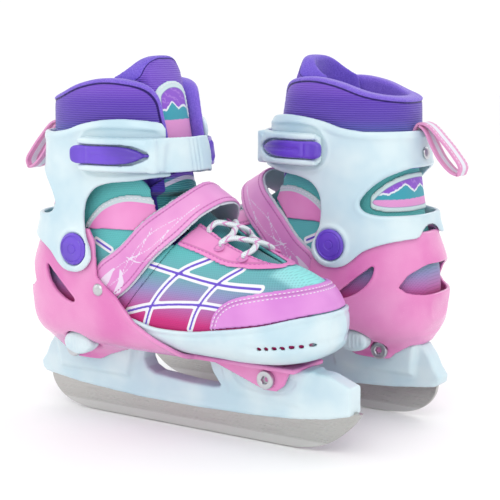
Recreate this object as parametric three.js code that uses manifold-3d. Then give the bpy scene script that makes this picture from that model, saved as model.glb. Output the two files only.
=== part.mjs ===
// A pair of adjustable children's ice skates, standing side by side and pointing opposite ways.
//
// Each skate is modelled in its own frame: x runs forward from the heel, the outer side of the foot is -y,
// and z runs up from the ice. The left skate is the right one mirrored in x and set behind it. Sizes in mm.
//
// The boot is two lofts, a foot and a leg. Every layer of the boot, from the lining to the cuff, is a slice
// between two offsets of that one surface, cut to its side outline.
import * as THREE from "three";
import { mergeVertices } from "three/addons/utils/BufferGeometryUtils.js";
import Module from "manifold-3d";

const wasm = await Module();
wasm.setup();

// ---------------------------------------------------------------- the pair
const SKATE_MIDDLE_X = 130; // the point of a skate that lies over the pair's middle
const PAIR_SPACING = 118; // between the two blades

// ---------------------------------------------------------------- layers, as offsets from the upper's surface
const GAP = 0.4; // between layers that touch
const UPPER_WALL = 3.5;
const LINING_LAP = 5; // how far the lining steps in under the sliding upper
const LINING_WALL = 4;
const LINING_INNER = -(LINING_LAP + LINING_WALL);
const TOE_SHELL_WALL = 3;
const TOE_SHELL_OUTER = GAP + TOE_SHELL_WALL;
const HEEL_SHELL_INNER = TOE_SHELL_OUTER + GAP;
const HEEL_SHELL_WALL = 3.2;
const HEEL_SHELL_OUTER = HEEL_SHELL_INNER + HEEL_SHELL_WALL;
const CUFF_GAP = 0.8;
const CUFF_WALL = 3.2;
const CUFF_INNER = HEEL_SHELL_OUTER + CUFF_GAP;
const CUFF_OUTER = CUFF_INNER + CUFF_WALL;
const COLLAR_OUTER = 4;
const COLLAR_PADDING = 11;
const COLLAR_INNER = COLLAR_OUTER - COLLAR_PADDING;
const TONGUE_OUTER = -1.5; // in the gap between the collar's flaps
const TONGUE_INNER = -14.4;
const STRAP_INNER = GAP;
const STRAP_THICKNESS = 2.4;
const TOE_CAP_THICKNESS = 1.4;
const LADDER_INNER = CUFF_OUTER + GAP;
const LADDER_THICKNESS = 2;
const FRAME_INNER = LADDER_INNER + LADDER_THICKNESS + GAP;
const FRAME_OUTER = FRAME_INNER + 2;
const LEVER_THICKNESS = 5;

// ---------------------------------------------------------------- the boot's surface
// Foot sections across x: half width, lowest and highest point.
const FOOT = [
  { x: -1, w: 13, low: 78, high: 116 },
  { x: 5, w: 24, low: 68, high: 127 },
  { x: 20, w: 32.5, low: 64.2, high: 141 },
  { x: 50, w: 38.5, low: 64, high: 156 },
  { x: 85, w: 41.5, low: 64, high: 168 },
  { x: 120, w: 41.5, low: 64, high: 171 },
  { x: 145, w: 41.5, low: 64, high: 158 },
  { x: 170, w: 42.8, low: 64, high: 142.5 },
  { x: 195, w: 44, low: 64, high: 131.5 },
  { x: 217, w: 40.5, low: 65.5, high: 124.5 },
  { x: 233, w: 31.5, low: 69, high: 117.5 },
  { x: 241, w: 22.5, low: 73, high: 110 },
  { x: 245.5, w: 11, low: 79, high: 100 },
];
const WIDEST_SHARE = 0.42; // of a foot section's height, where it is widest
const WIDEST_TOP = 92;
const SOLE_ROUNDNESS = 3.2; // superellipse powers: 2 is an ellipse, more is boxier
const INSTEP_ROUNDNESS = 2.15;
// Leg sections across z: rearmost and foremost point, half width.
const LEG = [
  { z: 96, rear: -0.5, front: 108, w: 33 },
  { z: 118, rear: 1, front: 120, w: 37.4 },
  { z: 150, rear: 10, front: 127, w: 38.2 },
  { z: 180, rear: 15.3, front: 124, w: 36.4 },
  { z: 216, rear: 18.8, front: 118, w: 36.6 },
  { z: 276, rear: 20, front: 107, w: 37.2 },
];
const LEG_ROUNDNESS = 2.5;
const RING_POINTS = 14;
const STRAP_CROWN = 17; // how far the strap arches over tongue and laces

// ---------------------------------------------------------------- mechanisms
const ANKLE = { x: 58, z: 133 }; // the cuff's pivot
const PIVOT_SHANK_R = 4;
const PIVOT_FLANGE_R = 8;
const PIVOT_FLANGE_THICKNESS = 1.6;
const PIVOT_CAP_R = 11.5;
const PIVOT_CAP_HEIGHT = 2.4;
const BOSS_R = 17;
const COLLAR_SEAM_R = 70; // the collar turns with the cuff on this arc about the ankle
const FIT = 0.3; // between a pin and its hole
const BLADE_THICKNESS = 3.6;
const BLADE_TANG = 9; // steel held in the holder
const HOLDER_HALF = 8;
const REAR_POST_HALF = 14;
const FRONT_POST_HALF = 11;
const CHEEK_WALL = 4;
const BASE_LOW = 57;
const BASE_HIGH = 60.2;
const BOLT_SHANK_R = 3;
const BOLT_HEAD_R = 6.6;
const BOLT_HEAD_HEIGHT = 3;
const REAR_BOLT = { x: 31.5, z: 51.5 };
const FRONT_BOLT = { x: 201, z: 49.5 };
const BUTTON = { x: 48, z: 60, halfLength: 14, halfHeight: 8.8, inner: 25, outer: 36 };
const BUTTON_TRAVEL = 3;
const SPRING_Z = 55.5;
const LEVER_PIN = { x: 124, r: 1.2 };
const LEVER_NOSE_R = 2.5; // the lever's front end turns inside the frame's walls
const FRAME_END_Y = 14; // the plate reaches round the front this far
const BAND_Z = [189.5, 214.5]; // the buckle frame's lower and upper edge
const LEVER_Z = [195.6, 208.4];
const LADDER_Z = [192, 212];

// ---------------------------------------------------------------- solids from three.js geometry
function solid(geometry) {
  const bare = new THREE.BufferGeometry();
  const plain = geometry.index ? geometry.toNonIndexed() : geometry;
  bare.setAttribute("position", plain.getAttribute("position"));
  const merged = mergeVertices(bare, 1e-4);
  const mesh = new wasm.Mesh({
    numProp: 3,
    vertProperties: merged.attributes.position.array,
    triVerts: new Uint32Array(merged.index.array),
  });
  return new wasm.Manifold(mesh);
}

function geometryOf(shape) {
  const mesh = shape.getMesh();
  const positions = new Float32Array(mesh.numVert * 3);
  for (let i = 0; i < mesh.numVert; i++) {
    positions.set(mesh.vertProperties.subarray(i * mesh.numProp, i * mesh.numProp + 3), i * 3);
  }
  const geometry = new THREE.BufferGeometry();
  geometry.setAttribute("position", new THREE.BufferAttribute(positions, 3));
  geometry.setIndex(new THREE.BufferAttribute(new Uint32Array(mesh.triVerts), 1));
  return geometry;
}

// A closed solid through rings of equal length, with a fan at each end.
function loft(rings) {
  const count = rings[0].length;
  const points = rings.flat();
  const faces = [];
  for (let i = 0; i + 1 < rings.length; i++) {
    for (let k = 0; k < count; k++) {
      const a = i * count + k;
      const b = i * count + ((k + 1) % count);
      faces.push(a, b, b + count, a, b + count, a + count);
    }
  }
  const middle = (ring) => ring.reduce((sum, p) => sum.add(p), new THREE.Vector3()).divideScalar(count);
  const first = points.push(middle(rings[0])) - 1;
  const last = points.push(middle(rings[rings.length - 1])) - 1;
  const start = (rings.length - 1) * count;
  for (let k = 0; k < count; k++) {
    const next = (k + 1) % count;
    faces.push(first, next, k, last, start + k, start + next);
  }
  const geometry = new THREE.BufferGeometry().setFromPoints(points);
  geometry.setIndex(faces);
  const made = solid(geometry);
  if (made.volume() > 0) return made;
  return loft([...rings].reverse());
}

const power = (value, exponent) => Math.sign(value) * Math.abs(value) ** exponent;

function footRing(section, offset, crown) {
  const low = section.low - offset;
  const high = section.high + offset + crown;
  const widest = Math.min(low + WIDEST_SHARE * (high - low), WIDEST_TOP);
  const length = FOOT[FOOT.length - 1].x - FOOT[0].x;
  const middle = FOOT[0].x + length / 2;
  const x = section.x + (offset * (section.x - middle)) / (length / 2);
  return Array.from({ length: RING_POINTS }, (_, k) => {
    const angle = (2 * Math.PI * k) / RING_POINTS;
    const up = Math.sin(angle);
    const n = up < 0 ? SOLE_ROUNDNESS : INSTEP_ROUNDNESS;
    const height = up < 0 ? widest - low : high - widest;
    const y = (section.w + offset) * power(Math.cos(angle), 2 / n);
    return new THREE.Vector3(x, y, widest + height * power(up, 2 / n));
  });
}

function legRing(section, offset) {
  const halfLength = (section.front - section.rear) / 2 + offset;
  const middle = (section.front + section.rear) / 2;
  return Array.from({ length: RING_POINTS }, (_, k) => {
    const angle = (2 * Math.PI * k) / RING_POINTS;
    const x = middle + halfLength * power(Math.cos(angle), 2 / LEG_ROUNDNESS);
    const y = (section.w + offset) * power(Math.sin(angle), 2 / LEG_ROUNDNESS);
    return new THREE.Vector3(x, y, section.z);
  });
}

// The boot's whole body, its surface moved out by offset.
const bodies = new Map();
function boot(offset, crown = 0) {
  const key = `${offset} ${crown}`;
  if (!bodies.has(key)) {
    const isInstep = (s) => s.x > 100 && s.x < 190;
    const foot = loft(FOOT.map((s) => footRing(s, offset, isInstep(s) ? crown : 0)));
    const leg = loft(LEG.map((s) => legRing(s, offset)));
    bodies.set(key, foot.add(leg));
  }
  return bodies.get(key);
}

const layer = (inner, outer, crown = 0) => boot(outer, crown).subtract(boot(inner, crown));

// How far the leg's surface, moved out by offset, stands from the middle plane at (x, z).
function legHalfWidth(x, z, offset) {
  const i = LEG.findIndex((s) => s.z >= z);
  const [a, b] = [LEG[i - 1], LEG[i]];
  const t = (z - a.z) / (b.z - a.z);
  const mix = (key) => a[key] + t * (b[key] - a[key]);
  const halfLength = (mix("front") - mix("rear")) / 2 + offset;
  const along = Math.min(1, Math.abs(x - (mix("front") + mix("rear")) / 2) / halfLength);
  return (mix("w") + offset) * (1 - along ** LEG_ROUNDNESS) ** (1 / LEG_ROUNDNESS);
}

// A side outline in (x, z), made solid from y0 to y1.
function sidePrism(points, y0 = -100, y1 = 100) {
  const shape = new THREE.Shape(points.map(([x, z]) => new THREE.Vector2(x, z)));
  const geometry = new THREE.ExtrudeGeometry(shape, { depth: y1 - y0, bevelEnabled: false });
  return solid(geometry.rotateX(Math.PI / 2).translate(0, y1, 0));
}

// A smooth closed side outline through the same kind of points.
function smooth(points, steps) {
  const curve = new THREE.CatmullRomCurve3(
    points.map(([x, z]) => new THREE.Vector3(x, z, 0)),
    true,
    "centripetal",
  );
  return curve.getPoints(steps).slice(0, -1).map((p) => [p.x, p.y]);
}

function box(x0, x1, y0, y1, z0, z1) {
  const geometry = new THREE.BoxGeometry(x1 - x0, y1 - y0, z1 - z0);
  return solid(geometry.translate((x0 + x1) / 2, (y0 + y1) / 2, (z0 + z1) / 2));
}

// A turned piece about an axis through (x, y, z): profile is [radius, distance along the axis].
function turned(profile, sides, axis, x, y, z) {
  const geometry = new THREE.LatheGeometry(profile.map(([r, d]) => new THREE.Vector2(r, d)), sides);
  if (axis === "z") geometry.rotateX(Math.PI / 2);
  if (axis === "x") geometry.rotateZ(-Math.PI / 2);
  const made = solid(geometry.translate(x, y, z));
  return made.volume() > 0 ? made : solid(flipped(geometry));
}

function flipped(geometry) {
  const turnedRound = geometry.toNonIndexed();
  const p = turnedRound.getAttribute("position");
  for (let i = 0; i < p.count; i += 3) {
    const [a, b] = [i + 1, i + 2].map((j) => new THREE.Vector3().fromBufferAttribute(p, j));
    p.setXYZ(i + 1, b.x, b.y, b.z);
    p.setXYZ(i + 2, a.x, a.y, a.z);
  }
  return turnedRound;
}

const rod = (r, y0, y1, x, z, sides = 20) =>
  turned([[0, y0], [r, y0], [r, y1], [0, y1]], sides, "y", x, 0, z);

// ---------------------------------------------------------------- runner
// The steel's exposed outline, from the heel's top corner round the ice edge to the toe's.
const STEEL_TOP = [
  [-8, 25.5], [28, 21], [84, 18], [136, 18], [187, 19.5], [221, 22], [245, 25.5], [268, 31.5],
];
const STEEL_EDGE = [
  [-8, 25.5], [-6.5, 19], [-2, 12], [5, 6.5], [15, 2.5], [30, 0.4], [40, 0],
  [205, 0], [218, 0.6], [232, 3], [245, 8.5], [256, 17], [264, 25], [268, 31.5],
];

function blade() {
  const tang = STEEL_TOP.slice(1, -1).reverse().map(([x, z]) => [x, z + BLADE_TANG]);
  const outline = [...STEEL_EDGE, ...tang];
  return sidePrism(outline, -BLADE_THICKNESS / 2, BLADE_THICKNESS / 2);
}

function bladePocket() {
  const grow = FIT;
  const lower = STEEL_TOP.map(([x, z]) => [x, z - 4]);
  const isEnd = (i) => i === 0 || i === STEEL_TOP.length - 1;
  const upper = STEEL_TOP.map(([x, z], i) => [x, z + (isEnd(i) ? 0 : BLADE_TANG) + grow]).reverse();
  return sidePrism([...lower, ...upper], -BLADE_THICKNESS / 2 - grow, BLADE_THICKNESS / 2 + grow);
}

function bladeHolder() {
  const lower = STEEL_TOP.map(([x, z]) => [x, z + FIT]);
  const upper = [
    [274, 42], [262, 49.5], [245, 56], [236, BASE_LOW - FIT], [146, BASE_LOW - FIT], [157, 35.5],
    [128, 36], [98, 38.5], [90, 42], [88, 48], [90, BASE_LOW - FIT], [2, BASE_LOW - FIT],
    [-4, 49], [-8.5, 39.5], [-13, 33.5], [-12, 28],
  ];
  const rail = sidePrism([...lower, ...upper], -HOLDER_HALF, HOLDER_HALF);
  const rearPost = sidePrism(
    [[10, 34], [74, 34], [82, BASE_LOW - FIT], [6, BASE_LOW - FIT]], -REAR_POST_HALF, REAR_POST_HALF);
  const frontPost = sidePrism(
    [[166, 36], [222, 34], [232, BASE_LOW - FIT], [158, BASE_LOW - FIT]], -FRONT_POST_HALF, FRONT_POST_HALF);
  return rail
    .add(rearPost)
    .add(frontPost)
    .subtract(bladePocket())
    .subtract(rod(BOLT_SHANK_R + FIT, -60, 60, REAR_BOLT.x, REAR_BOLT.z))
    .subtract(rod(BOLT_SHANK_R + FIT, -60, 60, FRONT_BOLT.x, FRONT_BOLT.z));
}

// A bolt from the outer side, and the sleeve nut that takes it on the inner side.
function bolt(at, cheek) {
  const face = -cheek - FIT;
  const end = cheek + FIT + BOLT_HEAD_HEIGHT - 0.8;
  const body = turned(
    [[0, face - BOLT_HEAD_HEIGHT], [BOLT_HEAD_R - 1, face - BOLT_HEAD_HEIGHT],
      [BOLT_HEAD_R, face - BOLT_HEAD_HEIGHT + 1], [BOLT_HEAD_R, face], [BOLT_SHANK_R, face],
      [BOLT_SHANK_R, end], [0, end]],
    14, "y", at.x, 0, at.z);
  const key = turned(
    [[0, face - 9], [2.6, face - 9], [2.6, face - 1], [0, face - 1]], 6, "y", at.x, 0, at.z);
  return body.subtract(key);
}

function nut(at, cheek) {
  const face = cheek + FIT;
  const bore = BOLT_SHANK_R + FIT;
  return turned(
    [[bore, face], [BOLT_HEAD_R, face], [BOLT_HEAD_R, face + BOLT_HEAD_HEIGHT - 1],
      [BOLT_HEAD_R - 1, face + BOLT_HEAD_HEIGHT], [bore, face + BOLT_HEAD_HEIGHT], [bore, face]],
    14, "y", at.x, 0, at.z);
}

// ---------------------------------------------------------------- heel shell with its base and bolt cheeks
const REAR_CHEEK = REAR_POST_HALF + FIT + CHEEK_WALL;
const FRONT_CHEEK = FRONT_POST_HALF + FIT + CHEEK_WALL;
const TAIL = [
  { z: 44.5, rear: 17, front: 62, w: REAR_CHEEK },
  { z: 49, rear: 11, front: 72, w: REAR_CHEEK + 0.3 },
  { z: 54, rear: 5, front: 84, w: REAR_CHEEK + 3.5 },
  { z: 59, rear: 0, front: 96, w: REAR_CHEEK + 9 },
  { z: 66, rear: -4, front: 106, w: REAR_CHEEK + 17 },
];
const HEEL_SIDE = [
  [-30, 30], [-30, 142], [20, 142], [42, 148], [68, 148], [74.5, 138], [76.5, 114], [84, 108],
  [95, 101], [110, 85], [125, 75.5], [137, 69], [144, 62], [144, 30],
];
const HEEL_LEAF = [[26, 118.5], [28, 109], [38, 98.5], [52, 93], [55.5, 94.5], [46.5, 103], [35, 112.5]];
const HEEL_REAR_WINDOW = [[-40, 98], [-5, 97.5], [4, 99.5], [9, 103.5], [4, 112], [-5, 119.5], [-40, 121]];

function heelShell() {
  const tail = loft(TAIL.map((s) => legRing(s, 0)));
  const postRoom = box(-40, 90, -REAR_POST_HALF - FIT, REAR_POST_HALF + FIT, 30, BASE_LOW);
  const base = box(100, 226, -20, 20, BASE_LOW, BASE_HIGH);
  const cheekSide = [
    [152, BASE_LOW], [198, 41.5], [208, 41.5], [214, 46], [220, BASE_HIGH - 1], [152, BASE_HIGH - 1],
  ];
  const cheeks = sidePrism(cheekSide, -FRONT_CHEEK, FRONT_CHEEK);
  const cheekRoom = box(140, 240, -FRONT_POST_HALF - FIT, FRONT_POST_HALF + FIT, 30, BASE_LOW);
  const buttonRoom = sidePrism(ellipse(BUTTON, FIT + 0.2), -60, -BUTTON.inner + BUTTON_TRAVEL + 0.5);
  const springRoom = rod(4.2, -BUTTON.inner, -17.5, BUTTON.x, SPRING_Z, 12);
  const strapHole = rod(STRAP_RIVET.r + FIT, -70, -20, STRAP_RIVET.x, STRAP_RIVET.z, 12);
  const shell = layer(HEEL_SHELL_INNER, HEEL_SHELL_OUTER).intersect(sidePrism(HEEL_SIDE));
  return shell
    .add(tail.subtract(boot(HEEL_SHELL_INNER)))
    .add(base.subtract(boot(TOE_SHELL_OUTER + GAP)))
    .add(cheeks.subtract(boot(TOE_SHELL_OUTER + GAP)))
    .subtract(postRoom)
    .subtract(cheekRoom)
    .subtract(buttonRoom)
    .subtract(springRoom)
    .subtract(sidePrism(smooth(HEEL_LEAF, 18)))
    .subtract(sidePrism(HEEL_REAR_WINDOW))
    .subtract(rod(PIVOT_SHANK_R + FIT, -70, 70, ANKLE.x, ANKLE.z))
    .subtract(strapHole)
    .subtract(rod(BOLT_SHANK_R + FIT, -60, 60, REAR_BOLT.x, REAR_BOLT.z))
    .subtract(rod(BOLT_SHANK_R + FIT, -60, 60, FRONT_BOLT.x, FRONT_BOLT.z))
    .subtract(rod(BOLT_HEAD_R + 0.8, -60, -REAR_CHEEK, REAR_BOLT.x, REAR_BOLT.z, 14))
    .subtract(rod(BOLT_HEAD_R + 0.8, REAR_CHEEK, 60, REAR_BOLT.x, REAR_BOLT.z, 14));
}

function ellipse({ x, z, halfLength, halfHeight }, grow) {
  return Array.from({ length: 20 }, (_, k) => {
    const angle = (2 * Math.PI * k) / 20;
    return [x + (halfLength + grow) * Math.cos(angle), z + (halfHeight + grow) * Math.sin(angle)];
  });
}

function sizeButton() {
  const head = sidePrism(ellipse(BUTTON, 0), -BUTTON.outer, -BUTTON.inner);
  return head
    .subtract(boot(HEEL_SHELL_INNER + 0.2))
    .subtract(rod(3.4, -BUTTON.inner - 5, -10, BUTTON.x, SPRING_Z, 12));
}

class Coil extends THREE.Curve {
  constructor(radius, turns, start, end) {
    super();
    Object.assign(this, { radius, turns, start, end });
  }
  getPoint(t, target = new THREE.Vector3()) {
    const angle = 2 * Math.PI * this.turns * t;
    const y = this.start + (this.end - this.start) * t;
    return target.set(this.radius * Math.cos(angle), y, this.radius * Math.sin(angle));
  }
}

function tube(curve, radius, sides, steps) {
  const section = new THREE.Shape().absarc(0, 0, radius, 0, 2 * Math.PI, false);
  return solid(
    new THREE.ExtrudeGeometry(section, {
      extrudePath: curve, steps, curveSegments: sides / 2, bevelEnabled: false,
    }));
}

function buttonSpring() {
  const wire = 0.5;
  const coil = new Coil(2.6, 4, -BUTTON.inner - 4.6 + wire, -18.2);
  return tube(coil, wire, 4, 26).translate([BUTTON.x, 0, SPRING_Z]);
}

// ---------------------------------------------------------------- toe shell and upper, which slide forward together
const TOE_SHELL_SIDE = [
  [80, 50], [80, 88], [104, 87], [124, 82.5], [156, 83], [174, 86], [214, 93.5], [238, 99.5], [270, 102],
  [270, 50],
];
const TOE_CAP_EDGE = [[173, 87], [177, 98], [188, 108], [208, 114], [232, 118], [252, 121]];
const VAMP_REAR = [[92, 50], [92, 84], [104, 100], [124, 124], [144, 152], [150, 175]];
const THROAT = [[204, 0], [201, 6], [192, 10], [175, 12.5], [150, 14], [120, 16]];

function toeShell() {
  const vents = Array.from({ length: 7 }, (_, k) => rod(1.5, -70, 0, 212 + 5 * k, 77.5 + 0.5 * k, 8));
  const shell = layer(GAP, TOE_SHELL_OUTER).intersect(sidePrism(TOE_SHELL_SIDE));
  return vents.reduce((made, vent) => made.subtract(vent), shell);
}

function throatPrism(grow) {
  const half = THROAT.map(([x, y]) => [x + grow, y + (y ? grow : 0)]);
  const mirrored = half.slice(1).reverse().map(([x, y]) => [x, -y]);
  const shape = new THREE.Shape([...half, ...mirrored].map(([x, y]) => new THREE.Vector2(x, y)));
  return solid(new THREE.ExtrudeGeometry(shape, { depth: 120, bevelEnabled: false }).translate(0, 0, 100));
}

function vamp() {
  const front = sidePrism([...VAMP_REAR, [300, 175], [300, 50]]);
  const tongueBase = layer(-9, -4.4).intersect(box(118, 206, -17, 17, 110, 172));
  const sewn = layer(-9, -UPPER_WALL + 0.5).intersect(box(199, 209, -15, 15, 110, 140));
  return layer(-UPPER_WALL, 0).intersect(front).subtract(throatPrism(0)).add(tongueBase).add(sewn);
}

function toeCap() {
  const shellEdge = TOE_SHELL_SIDE.slice(5, 9).reverse().map(([x, z]) => [x, z + 0.5]);
  const side = sidePrism([...TOE_CAP_EDGE, [290, 121], ...shellEdge]);
  return layer(GAP, GAP + TOE_CAP_THICKNESS).intersect(side);
}

// ---------------------------------------------------------------- lining, collar, tongue, footbed
function seam(radius) {
  return rod(radius, -100, 100, ANKLE.x, ANKLE.z, 64);
}

const LINING_LOW = 50;
function bootie() {
  const behindVamp = sidePrism([
    ...VAMP_REAR.map(([x, z]) => [x - GAP, z]), [150 - GAP, 260], [-60, 260], [-60, LINING_LOW],
  ]);
  const lap = sidePrism([
    [60, LINING_LOW], [60, 260], [190, 260], [172, 150], [150, 112], [138, 96], [138, LINING_LOW],
  ]);
  const skin = boot(0).intersect(behindVamp).add(boot(-LINING_LAP).intersect(lap));
  const frontGap = box(100, 260, -19, 19, 118, 300).add(box(100, 260, -27, 27, 150, 300));
  return skin
    .subtract(boot(LINING_INNER))
    .intersect(seam(COLLAR_SEAM_R).add(box(-60, 260, -100, 100, LINING_LOW, ANKLE.z + 8)))
    .intersect(sidePrism([[-60, 40], [-60, 240], [135, 240], [300, 145], [300, 40]]))
    .subtract(frontGap);
}

const COLLAR_TOP = [
  [-30, 236], [14, 237], [36, 240.5], [58, 247.5], [78, 251], [96, 250], [112, 245.5], [121, 238], [126, 226],
  [150, 222],
];
const COLLAR_LOW = 186;
const COLLAR_FRONT_HALF_GAP = 22;
function collar() {
  const side = sidePrism([[-60, COLLAR_LOW], ...COLLAR_TOP, [150, COLLAR_LOW]]);
  return layer(COLLAR_INNER, COLLAR_OUTER)
    .intersect(side)
    .subtract(seam(COLLAR_SEAM_R + 0.6))
    .subtract(box(80, 200, -COLLAR_FRONT_HALF_GAP, COLLAR_FRONT_HALF_GAP, 120, 300));
}

// The tongue's shaft turns with the cuff, so it starts this far round the ankle from the foot.
const TONGUE_START_DEG = 42;
const TONGUE_TOP = [[60, 250], [72, 262], [88, 268.5], [104, 271], [150, 271]];
const TONGUE_FRONT = [
  [-20, 120], [20, 120], [21, 204], [30, 214], [30, 246], [27, 256], [20, 264.5], [10, 269.8], [0, 271],
  [-10, 269.8], [-20, 264.5], [-27, 256], [-30, 246], [-30, 214], [-21, 204],
];

// A front outline in (y, z), made solid from x0 to x1.
function frontPrism(points, x0, x1) {
  const shape = new THREE.Shape(points.map(([y, z]) => new THREE.Vector2(y, z)));
  const geometry = new THREE.ExtrudeGeometry(shape, { depth: x1 - x0, bevelEnabled: false });
  const turn = new THREE.Matrix4().makeBasis(
    new THREE.Vector3(0, 1, 0), new THREE.Vector3(0, 0, 1), new THREE.Vector3(1, 0, 0));
  return solid(geometry.applyMatrix4(turn).translate(x0, 0, 0));
}

// A thick front pad fills the gap between the collar's flaps, and thinner wings lie behind them.
function tongue() {
  const rise = Math.tan((TONGUE_START_DEG * Math.PI) / 180);
  const lineAt = (x) => [x, ANKLE.z + rise * (x - ANKLE.x)];
  const side = sidePrism([lineAt(100), [84, 190], ...TONGUE_TOP, lineAt(180)]);
  const halfFront = COLLAR_FRONT_HALF_GAP - 1;
  const pad = layer(TONGUE_INNER, TONGUE_OUTER).intersect(box(70, 200, -halfFront, halfFront, 158, 280));
  const behindCollar = layer(TONGUE_INNER, COLLAR_INNER - GAP).subtract(seam(COLLAR_SEAM_R + 1));
  const behindLining = layer(TONGUE_INNER, LINING_INNER - GAP);
  return pad.add(behindCollar).add(behindLining).intersect(side).intersect(frontPrism(TONGUE_FRONT, 74, 200));
}

function footbed() {
  return boot(LINING_INNER - 0.8).intersect(box(-20, 226, -60, 60, 73.4, 77.4));
}

// ---------------------------------------------------------------- strap, laces, rivets
const STRAP_RIVET = { x: 79, z: 105, r: 2, headR: 4.5 };
const STRAP_SIDE = [
  [68, 104], [75, 97], [86, 97], [104, 109.5], [123, 131], [142, 148.5], [152, 161], [160, 171],
  [166, 200], [142, 200], [139, 180], [130, 170], [111, 154.5], [92, 135], [74, 121],
];
function instepStrap() {
  return layer(STRAP_INNER, STRAP_INNER + STRAP_THICKNESS, STRAP_CROWN)
    .intersect(sidePrism(STRAP_SIDE))
    .subtract(rod(STRAP_RIVET.r + FIT, -70, 0, STRAP_RIVET.x, STRAP_RIVET.z, 12));
}

function strapRivet() {
  const head = layer(HEEL_SHELL_OUTER + FIT, HEEL_SHELL_OUTER + 2.2)
    .intersect(rod(STRAP_RIVET.headR, -80, 0, STRAP_RIVET.x, STRAP_RIVET.z, 14));
  const shank = layer(STRAP_INNER + 0.2, HEEL_SHELL_OUTER + 1)
    .intersect(rod(STRAP_RIVET.r, -80, 0, STRAP_RIVET.x, STRAP_RIVET.z, 12));
  return head.add(shank);
}

const EYELETS = [
  { x: 184, y: 18.5, z: 133 },
  { x: 166, y: 20, z: 142 },
];
const LACE_R = 2.1;
const LACE_LIFT = 0.4; // over the surface between the crossings
// The lace crosses over the tongue from eyelet to eyelet; each run is one tube.
function lace() {
  const runs = [
    [[184, -19, 0], [185, -8, 1], [180, 4, 2], [170, 14, 1], [166, 20, 0]],
    [[184, 19, 0], [185, 8, 1], [180, -4, 2], [170, -14, 1], [166, -20, 0]],
    [[166, -20, 0], [168, -9, 2.5], [163, 3, 3], [157, 12, 2.5], [154, 17, 0]],
    [[166, 20, 0], [168, 9, 2.5], [163, -3, 3], [157, -12, 2.5], [154, -17, 0]],
  ];
  return runs
    .map((run) => {
      const points = run.map(([x, y, lift]) =>
        new THREE.Vector3(x, y, instepHeight(x, y) + LACE_R + LACE_LIFT + lift));
      return tube(new THREE.CatmullRomCurve3(points), LACE_R, 6, 6);
    })
    .reduce((all, run) => all.add(run));
}

// The height of the upper's surface over the instep at (x, y).
function instepHeight(x, y) {
  const i = FOOT.findIndex((s) => s.x >= x);
  const [a, b] = [FOOT[i - 1], FOOT[i]];
  const t = (x - a.x) / (b.x - a.x);
  const high = a.high + t * (b.high - a.high);
  const low = a.low + t * (b.low - a.low);
  const w = a.w + t * (b.w - a.w);
  const widest = Math.min(low + WIDEST_SHARE * (high - low), WIDEST_TOP);
  return widest + (high - widest) * (1 - (Math.abs(y) / w) ** INSTEP_ROUNDNESS) ** (1 / INSTEP_ROUNDNESS);
}

// ---------------------------------------------------------------- cuff and its ankle pivots
const CUFF_SIDE = [
  [-40, 138], [-4, 139.5], [17, 135.5], [33, 129], [41, 122], [48, 117.5], [58, 116], [67, 118.5], [73.5, 126],
  [73, 133], [69, 142], [67, 154], [68.5, 168], [75, 176.5], [86, 181], [106, 183.5], [121, 186], [160, 189],
  [160, 213], [127, 218.5], [121, 223.5], [105, 226.5], [85, 226], [65, 222.5], [52, 218.5], [36, 216],
  [-40, 216],
];
const CUFF_WINDOW = [
  [-50, 156], [3, 155.5], [25, 156], [34, 159], [37, 164], [33.5, 171], [22.5, 181.5], [9, 189], [-50, 192],
];
const CUFF_FRONT_HALF_GAP = 21;
function cuff() {
  const frontGap = box(95, 220, -CUFF_FRONT_HALF_GAP, CUFF_FRONT_HALF_GAP, 150, 240);
  return layer(CUFF_INNER, CUFF_OUTER)
    .intersect(sidePrism(CUFF_SIDE))
    .subtract(sidePrism(CUFF_WINDOW))
    .subtract(frontGap)
    .subtract(rod(PIVOT_SHANK_R + FIT, -70, 70, ANKLE.x, ANKLE.z))
    .subtract(loopRod(2 + FIT, -30, 30));
}

// The pin's flange sits behind the heel shell, its shank carries the cuff and the cap is pressed on outside.
function pivotPin(side) {
  const halfSpace = side < 0 ? [-100, 0] : [0, 100];
  const flange = layer(HEEL_SHELL_INNER - FIT - PIVOT_FLANGE_THICKNESS, HEEL_SHELL_INNER - FIT)
    .intersect(rod(PIVOT_FLANGE_R, ...halfSpace, ANKLE.x, ANKLE.z, 16));
  const shank = layer(HEEL_SHELL_INNER - FIT - PIVOT_FLANGE_THICKNESS, CUFF_OUTER + 1)
    .intersect(rod(PIVOT_SHANK_R, ...halfSpace, ANKLE.x, ANKLE.z, 16));
  return flange.add(shank);
}

function pivotCap(side) {
  const face = side * (legHalfWidth(ANKLE.x, ANKLE.z, CUFF_OUTER) + PIVOT_CAP_HEIGHT);
  const disc = rod(PIVOT_CAP_R, Math.min(0, face), Math.max(0, face), ANKLE.x, ANKLE.z, 24);
  const socket = boot(CUFF_OUTER + 1 + FIT)
    .intersect(rod(PIVOT_SHANK_R + 0.1, -100, 100, ANKLE.x, ANKLE.z, 16));
  return disc.subtract(boot(CUFF_OUTER + 0.5)).subtract(socket);
}

// ---------------------------------------------------------------- ratchet buckle
const outerSide = (x0, x1, z0, z1) => box(x0, x1, -100, -8, z0, z1);

function pinPlace() {
  return legHalfWidth(LEVER_PIN.x, (LEVER_Z[0] + LEVER_Z[1]) / 2, FRAME_OUTER + GAP + LEVER_THICKNESS / 2);
}

function pinBore() {
  return turned(
    [[0, 180], [LEVER_PIN.r + FIT, 180], [LEVER_PIN.r + FIT, 230], [0, 230]],
    12, "z", LEVER_PIN.x, -pinPlace(), 0);
}

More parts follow.
